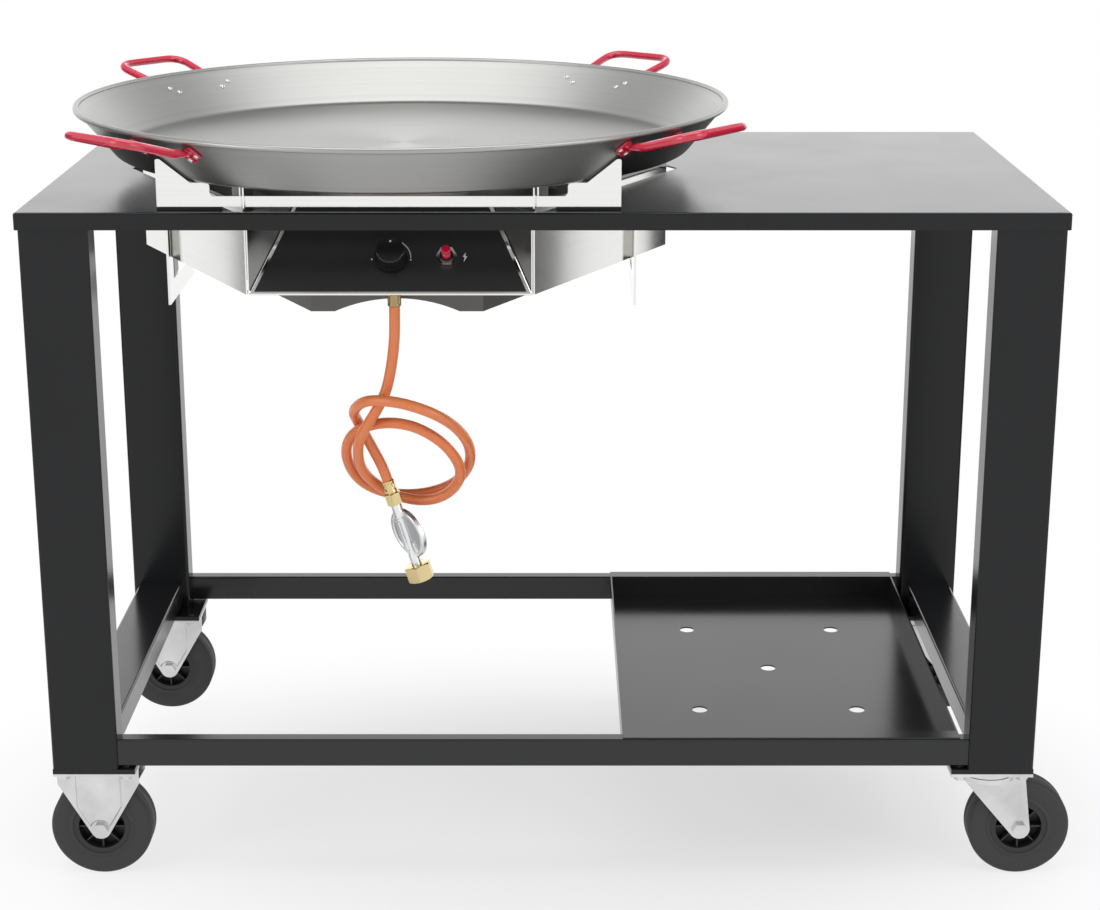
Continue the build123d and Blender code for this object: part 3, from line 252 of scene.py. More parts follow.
class ControlFinish(bpy.types.PropertyGroup):
    """Front plate, knob and igniter."""

    mark_colour: bpy.props.FloatVectorProperty(
        name="Print", description="Colour of the printed marks", subtype="COLOR",
        default=linear("#F2F2F0"), min=0, max=1,
    )
    button_colour: bpy.props.FloatVectorProperty(
        name="Button", description="Colour of the igniter button", subtype="COLOR",
        default=linear("#D0123A"), min=0, max=1,
    )
    scale_radius: bpy.props.FloatProperty(
        name="Scale radius", description="Radius of the printed scale round the knob",
        default=0.0225, unit="LENGTH",
    )


class HoseForm(bpy.types.PropertyGroup):
    """Gas hose and regulator."""

    diameter: bpy.props.FloatProperty(
        name="Hose diameter", description="Outside diameter of the hose", default=0.013, unit="LENGTH",
    )
    colour: bpy.props.FloatVectorProperty(
        name="Hose", description="Colour of the rubber hose", subtype="COLOR",
        default=linear("#F58A52"), min=0, max=1,
    )
    case_diameter: bpy.props.FloatProperty(
        name="Regulator case", description="Diameter of the regulator's round case",
        default=0.064, unit="LENGTH",
    )
    case_thickness: bpy.props.FloatProperty(
        name="Case thickness", description="Thickness of the regulator's case", default=0.016, unit="LENGTH",
    )
    case_turn: bpy.props.FloatProperty(
        name="Case turn", description="How far the case's face is turned from the front", subtype="ANGLE",
        default=math.radians(-52),
    )
    union_nut: bpy.props.FloatProperty(
        name="Union nut", description="Width across the flats of the union nut", default=0.030, unit="LENGTH",
    )


class PanForm(bpy.types.PropertyGroup):
    """Pan and its handles."""

    steel_colour: bpy.props.FloatVectorProperty(
        name="Pan steel", description="Colour of the polished pan", subtype="COLOR",
        default=linear("#B0B0AE"), min=0, max=1,
    )
    flare: bpy.props.FloatProperty(
        name="Flare", description="How far the wall leans out from base to rim", default=0.046, unit="LENGTH",
    )
    sheet: bpy.props.FloatProperty(
        name="Sheet", description="Thickness of the pan's sheet", default=0.0022, unit="LENGTH",
    )
    corner: bpy.props.FloatProperty(
        name="Corner", description="Outside radius between base and wall", default=0.012, unit="LENGTH",
    )
    bead: bpy.props.FloatProperty(
        name="Rim bead", description="Radius of the rolled rim", default=0.0035, unit="LENGTH",
    )
    rod: bpy.props.FloatProperty(
        name="Handle rod", description="Diameter of the handle rod", default=0.0104, unit="LENGTH",
    )
    first_handle: bpy.props.FloatProperty(
        name="First handle", description="Angle of the first handle",
        default=math.radians(50), subtype="ANGLE",
    )
    lug_spread: bpy.props.FloatProperty(
        name="Lug spread", description="Half the distance between a handle's lugs",
        default=0.0435, unit="LENGTH",
    )
    lug_drop: bpy.props.FloatProperty(
        name="Lug drop", description="Distance of the lugs below the rim", default=0.0163, unit="LENGTH",
    )
    handle_colour: bpy.props.FloatVectorProperty(
        name="Handles", description="Colour of the enamelled handles", subtype="COLOR",
        default=linear("#D8123F"), min=0, max=1,
    )
    ring_spacing: bpy.props.FloatProperty(
        name="Ring spacing", description="Spacing of the polishing rings", default=0.004, unit="LENGTH",
    )


class StudioSetup(bpy.types.PropertyGroup):
    """Floor, lamps and camera."""

    floor_colour: bpy.props.FloatVectorProperty(
        name="Floor", description="Colour of the studio floor", subtype="COLOR",
        default=linear("#F4F4F4"), min=0, max=1,
    )
    lens: bpy.props.FloatProperty(
        name="Lens", description="Focal length of the camera", default=71.96, unit="CAMERA",
    )
    rise: bpy.props.FloatProperty(
        name="Lens shift", description="Share of the picture's width that the lens is shifted up",
        default=-0.05,
    )
    tilt: bpy.props.FloatProperty(
        name="Tilt", description="Downward tilt of the camera", default=math.radians(15.72), subtype="ANGLE",
    )


def new_material(name):
    """A fresh node material: its tree and its main shader."""
    material = bpy.data.materials.new(name)
    material.use_nodes = True
    return material, material.node_tree, material.node_tree.nodes["Principled BSDF"]


def dress(material, *names):
    """Give CAD nodes their finish."""
    for name in names:
        mesh = NODES[name].data
        mesh.materials.clear()
        mesh.materials.append(material)


def shade(colour, factor=1.0):
    """A darker or lighter tone of a colour, with its alpha."""
    return (*[min(1, c * factor) for c in colour], 1)


def blend(tree, share, start, end):
    """Mix two colours by a share of the second."""
    return add_node(tree, "ShaderNodeMix", {0: share, 6: start, 7: end}, data_type="RGBA").outputs[2]


def noise(tree, place, scale, detail):
    """Soft noise from 0 to 1 in space."""
    made = add_node(tree, "ShaderNodeTexNoise", {"Vector": place, "Scale": scale, "Detail": detail})
    return made.outputs["Fac"]


def ranged(tree, value, limits, **settings):
    """Map a value from one range onto another."""
    return add_node(tree, "ShaderNodeMapRange", {"Value": value, **limits}, **settings).outputs["Result"]


def combine(tree, operation, *values):
    """Result of a math node on one or two values."""
    return add_node(tree, "ShaderNodeMath", dict(enumerate(values)), operation=operation).outputs[0]


def vector_math(tree, operation, *values):
    """Result of a vector math node: a number for a length or a product, else a vector."""
    made = add_node(tree, "ShaderNodeVectorMath", dict(enumerate(values)), operation=operation)
    return made.outputs["Value" if operation in ("LENGTH", "DOT_PRODUCT") else "Vector"]


def object_place(tree):
    """Place of a shaded point, in its object's own axes."""
    return add_node(tree, "ShaderNodeTexCoord").outputs["Object"]


def finish_surface(tree, shader, tone, roughness, height, strength, distance):
    """Wire a finish's tone, roughness and fine relief into its shader."""
    bump = add_node(tree, "ShaderNodeBump", {"Height": height, "Strength": strength, "Distance": distance})
    tree.links.new(tone, shader.inputs["Base Color"])
    tree.links.new(roughness, shader.inputs["Roughness"])
    tree.links.new(bump.outputs["Normal"], shader.inputs["Normal"])


def powder_coat(finish, name, sheen):
    """Black powder coat on sheet and tube: a fine orange peel and a soft, even sheen."""
    material, tree, shader = new_material(name)
    place = object_place(tree)
    peel = noise(tree, place, scale=1 / finish.peel_size, detail=2)
    cloud = noise(tree, place, scale=7, detail=3)
    tone = blend(tree, cloud, shade(finish.coat_colour, 0.82), shade(finish.coat_colour, 1.18))
    satin = finish.coat_roughness
    rough = ranged(tree, cloud, {"To Min": satin - 0.05, "To Max": satin + 0.05})
    shader.inputs["Specular IOR Level"].default_value = sheen
    finish_surface(tree, shader, tone, rough, peel, strength=0.12, distance=0.0003)
    return material


def stainless_sheet(finish):
    """Bright rolled stainless sheet: nearly mirror-like, with a faint level grain."""
    material, tree, shader = new_material("Bright stainless sheet")
    place = object_place(tree)
    level = vector_math(tree, "MULTIPLY", place, (6, 6, 1 / finish.grain_spacing))
    grain = noise(tree, level, scale=1, detail=4)
    cloud = noise(tree, place, scale=9, detail=2)
    tone = blend(tree, grain, shade(finish.sheet_colour, 0.9), shade(finish.sheet_colour))
    rough = ranged(tree, cloud, {"To Min": 0.08, "To Max": 0.14})
    shader.inputs["Metallic"].default_value = 1.0
    finish_surface(tree, shader, tone, rough, grain, strength=0.04, distance=0.0002)
    return material


def pan_steel(form):
    """Polished carbon steel spun on a lathe: fine rings round the middle that pull the light into a fan."""
    material, tree, shader = new_material("Spun polished steel")
    place = object_place(tree)
    from_axis = vector_math(tree, "SUBTRACT", place, PAN_CENTRE)
    flat = vector_math(tree, "MULTIPLY", from_axis, (1, 1, 0))
    radius = vector_math(tree, "LENGTH", flat)
    rings = add_node(
        tree, "ShaderNodeTexNoise", {"W": radius, "Scale": 1 / form.ring_spacing, "Detail": 3},
        noise_dimensions="1D",
    ).outputs["Fac"]
    cloud = noise(tree, place, scale=5, detail=2)
    tone = blend(tree, rings, shade(form.steel_colour, 0.88), shade(form.steel_colour))
    rough = ranged(tree, cloud, {"To Min": 0.3, "To Max": 0.4})
    tangent = add_node(tree, "ShaderNodeTangent", direction_type="RADIAL", axis="Z")
    shader.inputs["Metallic"].default_value = 1.0
    shader.inputs["Anisotropic"].default_value = 0.5
    tree.links.new(tangent.outputs["Tangent"], shader.inputs["Tangent"])
    finish_surface(tree, shader, tone, rough, rings, strength=0.08, distance=0.0003)
    return material


def speckled(name, colour, roughness, grit=0.003, depth=0.0001, metallic=0.0, spread=0.12, coat=0.0):
    """A plain finish with a fine grit in its surface and a little change of tone."""
    material, tree, shader = new_material(name)
    place = object_place(tree)
    fine = noise(tree, place, scale=1 / grit, detail=3)
    cloud = noise(tree, place, scale=22, detail=3)
    tone = blend(tree, cloud, shade(colour, 1 - spread), shade(colour, 1 + spread))
    rough = ranged(tree, cloud, {"To Min": roughness * 0.85, "To Max": min(1, roughness * 1.15)})
    shader.inputs["Metallic"].default_value = metallic
    shader.inputs["Coat Weight"].default_value = coat
    shader.inputs["Coat Roughness"].default_value = 0.08
    finish_surface(tree, shader, tone, rough, fine, strength=0.2, distance=depth)
    return material


def zinc_with_painted_shade(middle, normal, half, rim):
    """Die-cast zinc with painted light and shade: the raised rim, tube and bar are painted lighter and are
    smoother, and the case's sunk flat faces are painted darker, as shade, and are rougher.
    """
    material, tree, shader = new_material("Die-cast zinc with painted light and shade")
    place = object_place(tree)
    offset = vector_math(tree, "SUBTRACT", place, middle)
    level = combine(tree, "ABSOLUTE", vector_math(tree, "DOT_PRODUCT", offset, normal))
    radius = vector_math(tree, "LENGTH", offset)
    # A painted lighter tone sets in just above the sunk face, and from the rim's inner edge outwards; the
    # sunk face inside the rim keeps a painted darker shade
    face, inner = half - FACE_DEPTH, rim - RIM_WIDTH
    raised = ranged(tree, level, {"From Min": face + 0.0002, "From Max": face + 0.0012})
    outside = ranged(tree, radius, {"From Min": inner, "From Max": inner + 0.002})
    painted_light_share = combine(tree, "MAXIMUM", raised, outside)
    tone = blend(tree, painted_light_share, shade(linear("#BFC1C3")), shade(linear("#ECEDEE")))
    rough = ranged(tree, painted_light_share, {"To Min": 0.5, "To Max": 0.32})
    grit_size = 0.0015
    grit = noise(tree, place, scale=1 / grit_size, detail=3)
    shader.inputs["Metallic"].default_value = 1.0
    finish_surface(tree, shader, tone, rough, grit, strength=0.15, distance=0.0002)
    return material


def new_object(name, mesh, body):
    """Put a finished mesh or curve on its body."""
    piece = bpy.data.objects.new(name, mesh)
    bpy.context.scene.collection.objects.link(piece)
    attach(piece, body)
    return piece


def arc(x, y, radius, start, end, steps=6):
    """Points on a round stretch of an outline; its angles are in degrees."""
    turns = [math.radians(start + (end - start) * i / steps) for i in range(steps + 1)]
    return [(x + radius * math.cos(t), y + radius * math.sin(t)) for t in turns]


def round_corners(width, height, corner, steps=5):
    """Outline of a rectangle with round corners."""
    x, y = width / 2 - corner, height / 2 - corner
    places = ((x, y), (-x, y), (-x, -y), (x, -y))
    return [p for i, (cx, cy) in enumerate(places) for p in arc(cx, cy, corner, 90 * i, 90 * i + 90, steps)]


def place_at(origin, along, across):
    """Matrix with its Z axis along one direction and its X axis across it."""
    turn = Matrix((across, along.cross(across), along)).transposed()
    return Matrix.Translation(origin) @ turn.to_4x4()


def skin(mesh, rings):
    """Join neighbouring rings of points with faces."""
    for low, high in zip(rings, rings[1:]):
        for i in range(len(low)):
            mesh.faces.new(list(dict.fromkeys((low[i - 1], low[i], high[i], high[i - 1]))))


def spin(mesh, outline, place, steps=96, closed=False):
    """Spin (radius, height) points round the place's Z axis; a point may be a function of the turn."""
    turns = [2 * math.pi * i / steps for i in range(steps)]
    rings = []
    for point in outline:
        spots = [point(t) if callable(point) else point for t in turns]
        if spots[0][0] == 0:
            rings.append([mesh.verts.new(place @ Vector((0, 0, spots[0][1])))] * steps)
        else:
            rings.append([
                mesh.verts.new(place @ Vector((r * math.cos(t), r * math.sin(t), h)))
                for t, (r, h) in zip(turns, spots)
            ])
    if closed:
        rings.append(rings[0])
    skin(mesh, rings)


def prism(mesh, outline, place, low, high):
    """Raise a closed outline between two heights on the place's Z axis."""
    rings = [[mesh.verts.new(place @ Vector((x, y, z))) for x, y in outline] for z in (low, high)]
    skin(mesh, rings)
    mesh.faces.new(rings[0][::-1])
    mesh.faces.new(rings[1])


def hex_nut(mesh, flats, low, high, place, bore=None):
    """Add a six-sided nut between two heights; bore is a list of inner points."""
    # Its corners are turned off at 30 degrees, to just inside the flats
    turned = flats / 2 * 0.98
    slope = math.tan(math.radians(30))

    def corner(height, way):
        def point(turn):
            radius = flats / 2 / math.cos(turn % (math.pi / 3) - math.pi / 6)
            return radius, height + way * (radius - turned) * slope

        return point

    outline = [(turned, low), corner(low, 1), corner(high, -1), (turned, high)]
    if bore:
        spin(mesh, outline + bore, place, steps=72, closed=True)
    else:
        spin(mesh, [(0, low), *outline, (0, high)], place, steps=72)


def settle(mesh, name, material, body, crease=32):
    """Turn a finished bmesh into a smooth-shaded piece on its body."""
    bmesh.ops.recalc_face_normals(mesh, faces=mesh.faces)
    data = bpy.data.meshes.new(name)
    mesh.to_mesh(data)
    mesh.free()
    data.shade_smooth()
    data.set_sharp_from_angle(angle=math.radians(crease))
    data.materials.append(material)
    return new_object(name, data, body)


def melt_together(piece, voxel, rounds):
    """Grow the touching solids of a piece into one, with soft inner corners, as casting or forging gives."""
    remesh = piece.modifiers.new("one_skin", "REMESH")
    remesh.mode = "VOXEL"
    remesh.voxel_size = voxel
    smooth = piece.modifiers.new("soft_corners", "SMOOTH")
    smooth.factor = 0.5
    smooth.iterations = rounds
    made = bpy.data.meshes.new_from_object(piece.evaluated_get(bpy.context.evaluated_depsgraph_get()))
    made.name = piece.data.name
    made.shade_smooth()
    piece.modifiers.clear()
    piece.data = made


class GRILL_OT_trolley(bpy.types.Operator):
    """Finish the worktop, legs, rails and tray"""

    bl_idname = "grill.trolley"
    bl_label = "Trolley"

    def execute(self, context):
        finish = context.scene.grill_trolley
        coat = powder_coat(finish, "Satin black powder coat", finish.coat_sheen)
        glossy = powder_coat(finish, "Glossier black powder coat", finish.low_sheen)
        legs = [f"leg_{end}_{side}" for end in ("front", "rear") for side in ("left", "right")]
        rails = [f"{side}_rail" for side in ("front", "rear", "left", "right")]
        dress(coat, "table_top", "caster_base_plates", *legs)
        dress(glossy, "bottle_tray", *rails)
        return {"FINISHED"}


def tyre_outline(finish, outer, bore, half):
    """Closed section of a tyre as (radius, height): grooved tread, round shoulders, a ring in each side."""
    shoulder, groove = finish.shoulder, finish.groove
    # Tread with three grooves on each side, the last one a narrow land inside the shoulder
    land = 0.0005
    side = [(outer, 0)]
    for i in (2, 1, 0):
        edge = half - shoulder - land - 3 * groove * i
        side += [(outer, edge - 1.2 * groove), (outer - groove, edge - 0.9 * groove)]
        side += [(outer - groove, edge - 0.3 * groove), (outer, edge)]
    side += arc(outer - shoulder, half - shoulder, shoulder, 12, 84)
    # Side wall with a sunk ring, and the bead round the hub
    wall_out, ring_out, ring_in = outer - 0.012, 0.0418, 0.040
    dip, sunk = half - 0.0006, half - 0.0014
    side += [(wall_out, half), (ring_out + 0.0017, dip), (ring_out, sunk), (ring_in, sunk)]
    side += [(ring_in - 0.0012, dip), (bore + 0.0012, half - 0.0004), (bore, sunk)]
    return side + [(r, -h) for r, h in reversed(side[1:])]


class GRILL_OT_casters(bpy.types.Operator):
    """Make the tyres and finish the wheels and their brackets"""

    bl_idname = "grill.casters"
    bl_label = "Casters"

    def execute(self, context):
        finish = context.scene.grill_casters
        zinc = speckled(
            "Bright zinc plate", finish.zinc_colour, roughness=0.24, grit=0.004, depth=0.0002, metallic=1,
            spread=0.3,
        )
        rubber = speckled(
            "Moulded black tyre rubber", finish.tyre_colour, roughness=0.62, grit=0.0015, depth=0.0002,
        )
        nylon = speckled("Moulded black nylon", finish.hub_colour, roughness=0.45, grit=0.002)
        balls = speckled(
            "Ground bearing steel", linear("#D0D0D0"), roughness=0.12, grit=0.01, depth=0.00005, metallic=1,
        )
        bore = 0.035
        wheels = [f"{end}_{side}" for end in ("front", "rear") for side in ("left", "right")]
        for wheel in wheels:
            low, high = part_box(f"{wheel}_tyre")
            place = place_at((low + high) / 2, BACK, RIGHT)
            mesh = bmesh.new()
            outline = tyre_outline(finish, (high.z - low.z) / 2, bore, (high.y - low.y) / 2)
            spin(mesh, outline, place, steps=144, closed=True)
            tyre = settle(mesh, f"{wheel}_ribbed_tyre", rubber, f"{wheel}_wheel")
            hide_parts(f"{wheel}_tyre")
        dress(nylon, *[f"{wheel}_hub" for wheel in wheels])
        dress(balls, "swivel_balls")
        dress(zinc, "caster_bolts", "fixed_caster_brackets", "fixed_caster_axles", "swivel_plates")
        dress(zinc, "swivel_kingpins")
        for end in ("front", "rear"):
            dress(zinc, f"{end}_swivel_fork", f"{end}_swivel_axle")
        return {"FINISHED"}


class GRILL_OT_burner_unit(bpy.types.Operator):
    """Finish the burner unit's sheet metal, supports and burner"""

    bl_idname = "grill.burner_unit"
    bl_label = "Burner unit"

    def execute(self, context):
        sheet = stainless_sheet(context.scene.grill_burner)
        burner = speckled("Satin burner steel", linear("#A9A8A4"), roughness=0.38, depth=0.0002, metallic=1)
        # The rest pads under the support plates' ends are black rubber; their black also paints the shaded
        # gap between the plates and the worktop
        rubber = speckled("Black rest pad, also painting the shade gap", linear("#1A1A1A"), roughness=0.7, grit=0.002, depth=0.0002)
        ceramic = speckled("Glazed white ceramic", linear("#EDEAE2"), roughness=0.2, depth=0.00005)
        # The inner shield and burner floor lie inside the housing under the pan: their darker sheet paints
        # the shade there
        shade_painted_sheet = speckled("Stainless sheet darkened as painted shade", linear("#5E5D5B"), roughness=0.3, metallic=1)
        dress(sheet, "burner_housing", "control_box")
        dress(sheet, "front_support", "rear_support", "left_foot", "right_foot")
        dress(shade_painted_sheet, "inner_shield", "burner_floor")
        dress(burner, "burner_outer_ring", "burner_inner_ring", "burner_arms", "mixing_tube", "thermocouple")
        dress(rubber, "rest_pads")
        dress(ceramic, "spark_electrode")
        return {"FINISHED"}


def knob_place(height):
    """Place on the knob's axis, this far out of the panel: X to the right, Y up the slope."""
    return place_at(PANEL_FOOT + PANEL_UP * KNOB_ROW + PANEL_NORMAL * height, PANEL_NORMAL, RIGHT)


def flat_mark(name, outline, place, body, material):
    """A thin printed mark, from an outline on the place's face."""
    mesh = bmesh.new()
    prism(mesh, outline, place, 0, PRINT_THICKNESS)
    settle(mesh, name, material, body)


def disc_outline(x, y, radius, count=20):
    """Outline of a round dot."""
    return arc(x, y, radius, 0, 360, count)[:-1]


class GRILL_OT_controls(bpy.types.Operator):
    """Finish the front plate, knob and igniter, and print the marks"""

    bl_idname = "grill.controls"
    bl_label = "Controls"

    def execute(self, context):
        finish = context.scene.grill_controls
        plate = speckled("Satin black printed plate", linear("#202021"), roughness=0.34)
        plastic = speckled("Moulded black ABS", linear("#131314"), roughness=0.3, grit=0.002, depth=0.00008)
        red = speckled(
            "Gloss red ABS", finish.button_colour, roughness=0.2, grit=0.002, depth=0.00005, coat=0.4,
        )
        chrome = speckled("Bright plated nut", linear("#C9C9C6"), roughness=0.15, metallic=1)
        white = speckled(
            "White screen print", finish.mark_colour, roughness=0.5, grit=0.001, depth=0.00003, spread=0.03,
        )
        dress(plate, "control_fascia")
        dress(plastic, "control_knob", "piezo_body")
        dress(red, "igniter_button")
        dress(chrome, "piezo_nut")

        # A scale that starts wide at the top right and thins out towards the right
        on_plate = knob_place(PRINT_LEVEL)
        radius, sweep, steps = finish.scale_radius, math.radians(62), 24
        wide, fine = 0.0009, 0.0003
        edges = [], []
        for i in range(steps + 1):
            turn = sweep * (1 - i / steps)
            half = wide + (fine - wide) * i / steps
            for edge, r in zip(edges, (radius + half, radius - half)):
                edge.append((r * math.cos(turn), r * math.sin(turn)))
        flat_mark("scale_arc", edges[0] + edges[1][::-1], on_plate, "grill", white)
        for name, x, y in (("scale_end_dot", radius, -0.0022), ("scale_left_dot", -radius, -0.0016)):
            flat_mark(name, disc_outline(x, y, wide), on_plate, "grill", white)

        # A spark beside the igniter, and a dot on the knob
        spark = (
            (0.001, 0.006), (-0.0025, 0.0005), (-0.0002, 0.0005),
            (-0.0012, -0.006), (0.0028, 0.0012), (0.0004, 0.0012),
        )
        beside_igniter = on_plate @ Matrix.Translation((0.085, 0.001, 0))
        flat_mark("spark_mark", spark, beside_igniter, "grill", white)
        knob = NODES["control_knob"]
        knob_top = max((knob.matrix_world @ v.co - PANEL_FOOT).dot(PANEL_NORMAL) for v in knob.data.vertices)
        flat_mark("knob_dot", disc_outline(0, 0.0105, 0.0013), knob_place(knob_top), "knob", white)
        return {"FINISHED"}


def crimped(radius, depth, heights):
    """Rings of a sleeve that eight jaws pressed in, for spin: each gives its point from the turn."""

    def ring(height):
        return lambda turn: (radius - depth * max(0, math.cos(8 * turn)), height)

    return [ring(height) for height in heights]


class GRILL_OT_gas_line(bpy.types.Operator):
    """Make the hose and finish its fittings and regulator"""

    bl_idname = "grill.gas_line"
    bl_label = "Gas line"

    def execute(self, context):
        form = context.scene.grill_hose
        brass_colour = context.scene.grill_burner.brass_colour
        rubber = speckled(
            "Orange gas hose rubber", form.colour, roughness=0.32, grit=0.002, spread=0.06, coat=0.2,
        )
        brass = speckled("Machined brass", brass_colour, roughness=0.18, metallic=1)
        # The top ferrule's brass is rougher than the other brass, and its darker tone is painted shade from
        # the control box above it
        shaded_brass = speckled("Rougher crimped brass, darkened as painted shade", linear("#A9946C"), roughness=0.3, metallic=1)
        line = bpy.data.curves.new("hose", "CURVE")
        line.dimensions = "3D"
        line.bevel_depth = form.diameter / 2
        line.bevel_resolution = 8
        line.resolution_u = 10
        line.use_fill_caps = True
        spline = line.splines.new("NURBS")
        spline.points.add(len(HOSE_ROUTE) - 1)
        for point, step in zip(spline.points, HOSE_ROUTE):
            point.co = (*(HOSE_EXIT + Vector(step)), 1)
        spline.order_u = 3
        spline.use_endpoint_u = True
        line.materials.append(rubber)
        hose = new_object("hose", line, "grill")
        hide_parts("gas_hose")
        dress(brass, "gas_jet", "gas_tap", "tap_spindle")
        fittings = [
            self.top_ferrule(shaded_brass), self.end_fitting(brass),
            self.regulator(form), self.union_nut(form, brass),
        ]
        return {"FINISHED"}

    def top_ferrule(self, brass):
        """Crimped upper end of the hose: a sleeve pressed in by eight jaws, under its nut."""
        place = place_at(HOSE_EXIT, UP, RIGHT)
        top, nut_top, nut_flats = 0.022, 0.0315, 0.019
        outline = [
            (0, 0), (SLEEVE_EDGE, 0), (SLEEVE, 0.0008), (SLEEVE, 0.0035),
            *crimped(SLEEVE, 0.0007, (0.005, 0.0165)),
            (SLEEVE, 0.018), (SLEEVE, 0.0212), (SLEEVE_EDGE, top), (0, top),
        ]
        mesh = bmesh.new()
        spin(mesh, outline, place, steps=64)
        hex_nut(mesh, nut_flats, top, nut_top, place)
        ferrule = settle(mesh, "crimped_top_ferrule", brass, "grill")
        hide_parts("hose_top_ferrule")
        return ferrule

    def end_fitting(self, brass):
        """Crimped lower end of the hose: a sleeve with a pressed waist, over its nut."""
        place = place_at(HOSE_END, HANG, BACK)
        pressed, stem, nut_flats = 0.0072, 0.007, 0.018
        outline = [
            (0, 0), (SLEEVE_EDGE, 0), (SLEEVE, 0.0008), (SLEEVE, 0.003),
            *crimped(pressed, 0.0004, (0.0045, 0.0105)),
            (SLEEVE, 0.0125), (SLEEVE, 0.0155), (stem, 0.0162), (stem, SLEEVE_END), (0, SLEEVE_END),
        ]
        mesh = bmesh.new()
        spin(mesh, outline, place, steps=64)
        hex_nut(mesh, nut_flats, SLEEVE_END, TUBE_TOP, place)
        fitting = settle(mesh, "crimped_end_fitting", brass, "grill")
        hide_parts("hose_end_fitting")
        return fitting

    def regulator(self, form):
        """Cast regulator: a flat round case with a raised rim behind its tube, and bars along the tube."""
        along = place_at(HOSE_END, HANG, BACK)
        turn = form.case_turn
        normal = HANG.cross(BACK) * math.sin(turn) - BACK * math.cos(turn)
        half, rim = form.case_thickness / 2, form.case_diameter / 2
        middle = HOSE_END + HANG * CASE_MIDDLE - normal * half
        case = place_at(middle, normal, HANG)
        sunk, inner, outer = half - FACE_DEPTH, rim - RIM_WIDTH, rim - RIM_ROUND
        face = [(0, sunk), (inner, sunk), (inner + 0.001, half), (outer, half)]
        edge = arc(outer, half - RIM_ROUND, RIM_ROUND, 75, 0, 4) + [(rim, 0.0015)]
        back = [(outer, 0), (outer - 0.002, -0.002), (rim - 0.012, -0.004), (0, -0.004)]
        tube = [
            (0, TUBE_TOP), (NECK, TUBE_TOP), (NECK, NECK_END), (WAIST, WAIST_TOP), (WAIST, WAIST_END),
            (FOOT, FOOT_TOP), (FOOT, COLLAR_TOP), (COLLAR, COLLAR_TOP), (COLLAR, COLLAR_END), (0, COLLAR_END),
        ]
        mesh = bmesh.new()
        spin(mesh, face + edge + back, case)
        spin(mesh, tube, along, steps=64)
        bar = round_corners(width=0.040, height=0.008, corner=0.0012)
        prism(mesh, bar, case, 0, 2 * half - 0.0001)
        short_bar = round_corners(width=0.014, height=0.004, corner=0.001)
        prism(mesh, short_bar, case @ Matrix.Translation((0.017, 0.0105, 0)), 0, half + 0.002)
        body = settle(mesh, "cast_regulator", zinc_with_painted_shade(middle, normal, half, rim), "grill")
        melt_together(body, voxel=0.0006, rounds=3)
        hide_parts("regulator_body")
        return body

    def union_nut(self, form, brass):
        """Loose union nut under the regulator, bored for its thread, with a recess for the tube's collar."""
        bore = [
            (THREAD, UNION_END), (THREAD, THREAD_TOP), (RECESS, THREAD_TOP), (RECESS, RECESS_TOP),
            (FOOT_HOLE, RECESS_TOP), (FOOT_HOLE, UNION_TOP),
        ]
        mesh = bmesh.new()
        hex_nut(mesh, form.union_nut, UNION_TOP, UNION_END, place_at(HOSE_END, HANG, BACK), bore)
        nut = settle(mesh, "union_nut", brass, "union_nut")
        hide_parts("regulator_nut")
        return nut


def pan_outline(form, rim, depth):
    """Section of the pan's sheet as (radius, height) points: base, wall, rolled rim and back inside."""
    lean = math.atan2(depth, form.flare)
    bend = rim - form.flare - form.corner * math.tan(lean / 2)
    lean_angle = math.degrees(lean)
    roll_end = lean_angle + 180 - math.degrees(math.asin(form.sheet / form.bead))
    outer = arc(bend, form.corner, form.corner, -90, lean_angle - 90, 8)
    roll = arc(rim, depth, form.bead, lean_angle - 180, roll_end, 20)
    inner = arc(bend, form.corner, form.corner - form.sheet, lean_angle - 90, -90, 8)
    return [(0, 0), *outer, *roll, *inner, (0, form.sheet)]


def lug_places(form, rim, depth):
    """Places of the handle lugs on the pan's wall, in pairs: X along the rivets, Z out of the wall."""
    wall = Vector((depth, form.flare)).normalized()
    height = depth - form.lug_drop
    radius = rim - form.flare * form.lug_drop / depth
    pairs = []
    for handle in range(4):
        pair = []
        for side in (-1, 1):
            turn = form.first_handle + math.pi / 2 * handle + math.asin(side * form.lug_spread / radius)
            out = Vector((math.cos(turn), math.sin(turn), 0))
            normal = out * wall.x - UP * wall.y
            level = UP.cross(out)
            tilt = side * math.radians(30)
            across = level * math.cos(tilt) + normal.cross(level) * math.sin(tilt)
            pair.append(place_at(PAN_CENTRE + out * radius + UP * height, normal, across))
        pairs.append(pair)
    return pairs


def bent_path(points, reach, steps=8):
    """Points along a bent rod: straight runs, with a round bend that reaches this far along both runs."""
    path = [points[0]]
    for before, corner, after, length in zip(points, points[1:], points[2:], reach):
        start = corner + (before - corner).normalized() * length
        end = corner + (after - corner).normalized() * length
        for i in range(steps + 1):
            s = i / steps
            path.append(start * (1 - s) ** 2 + corner * 2 * s * (1 - s) + end * s**2)
    return path + [points[-1]]


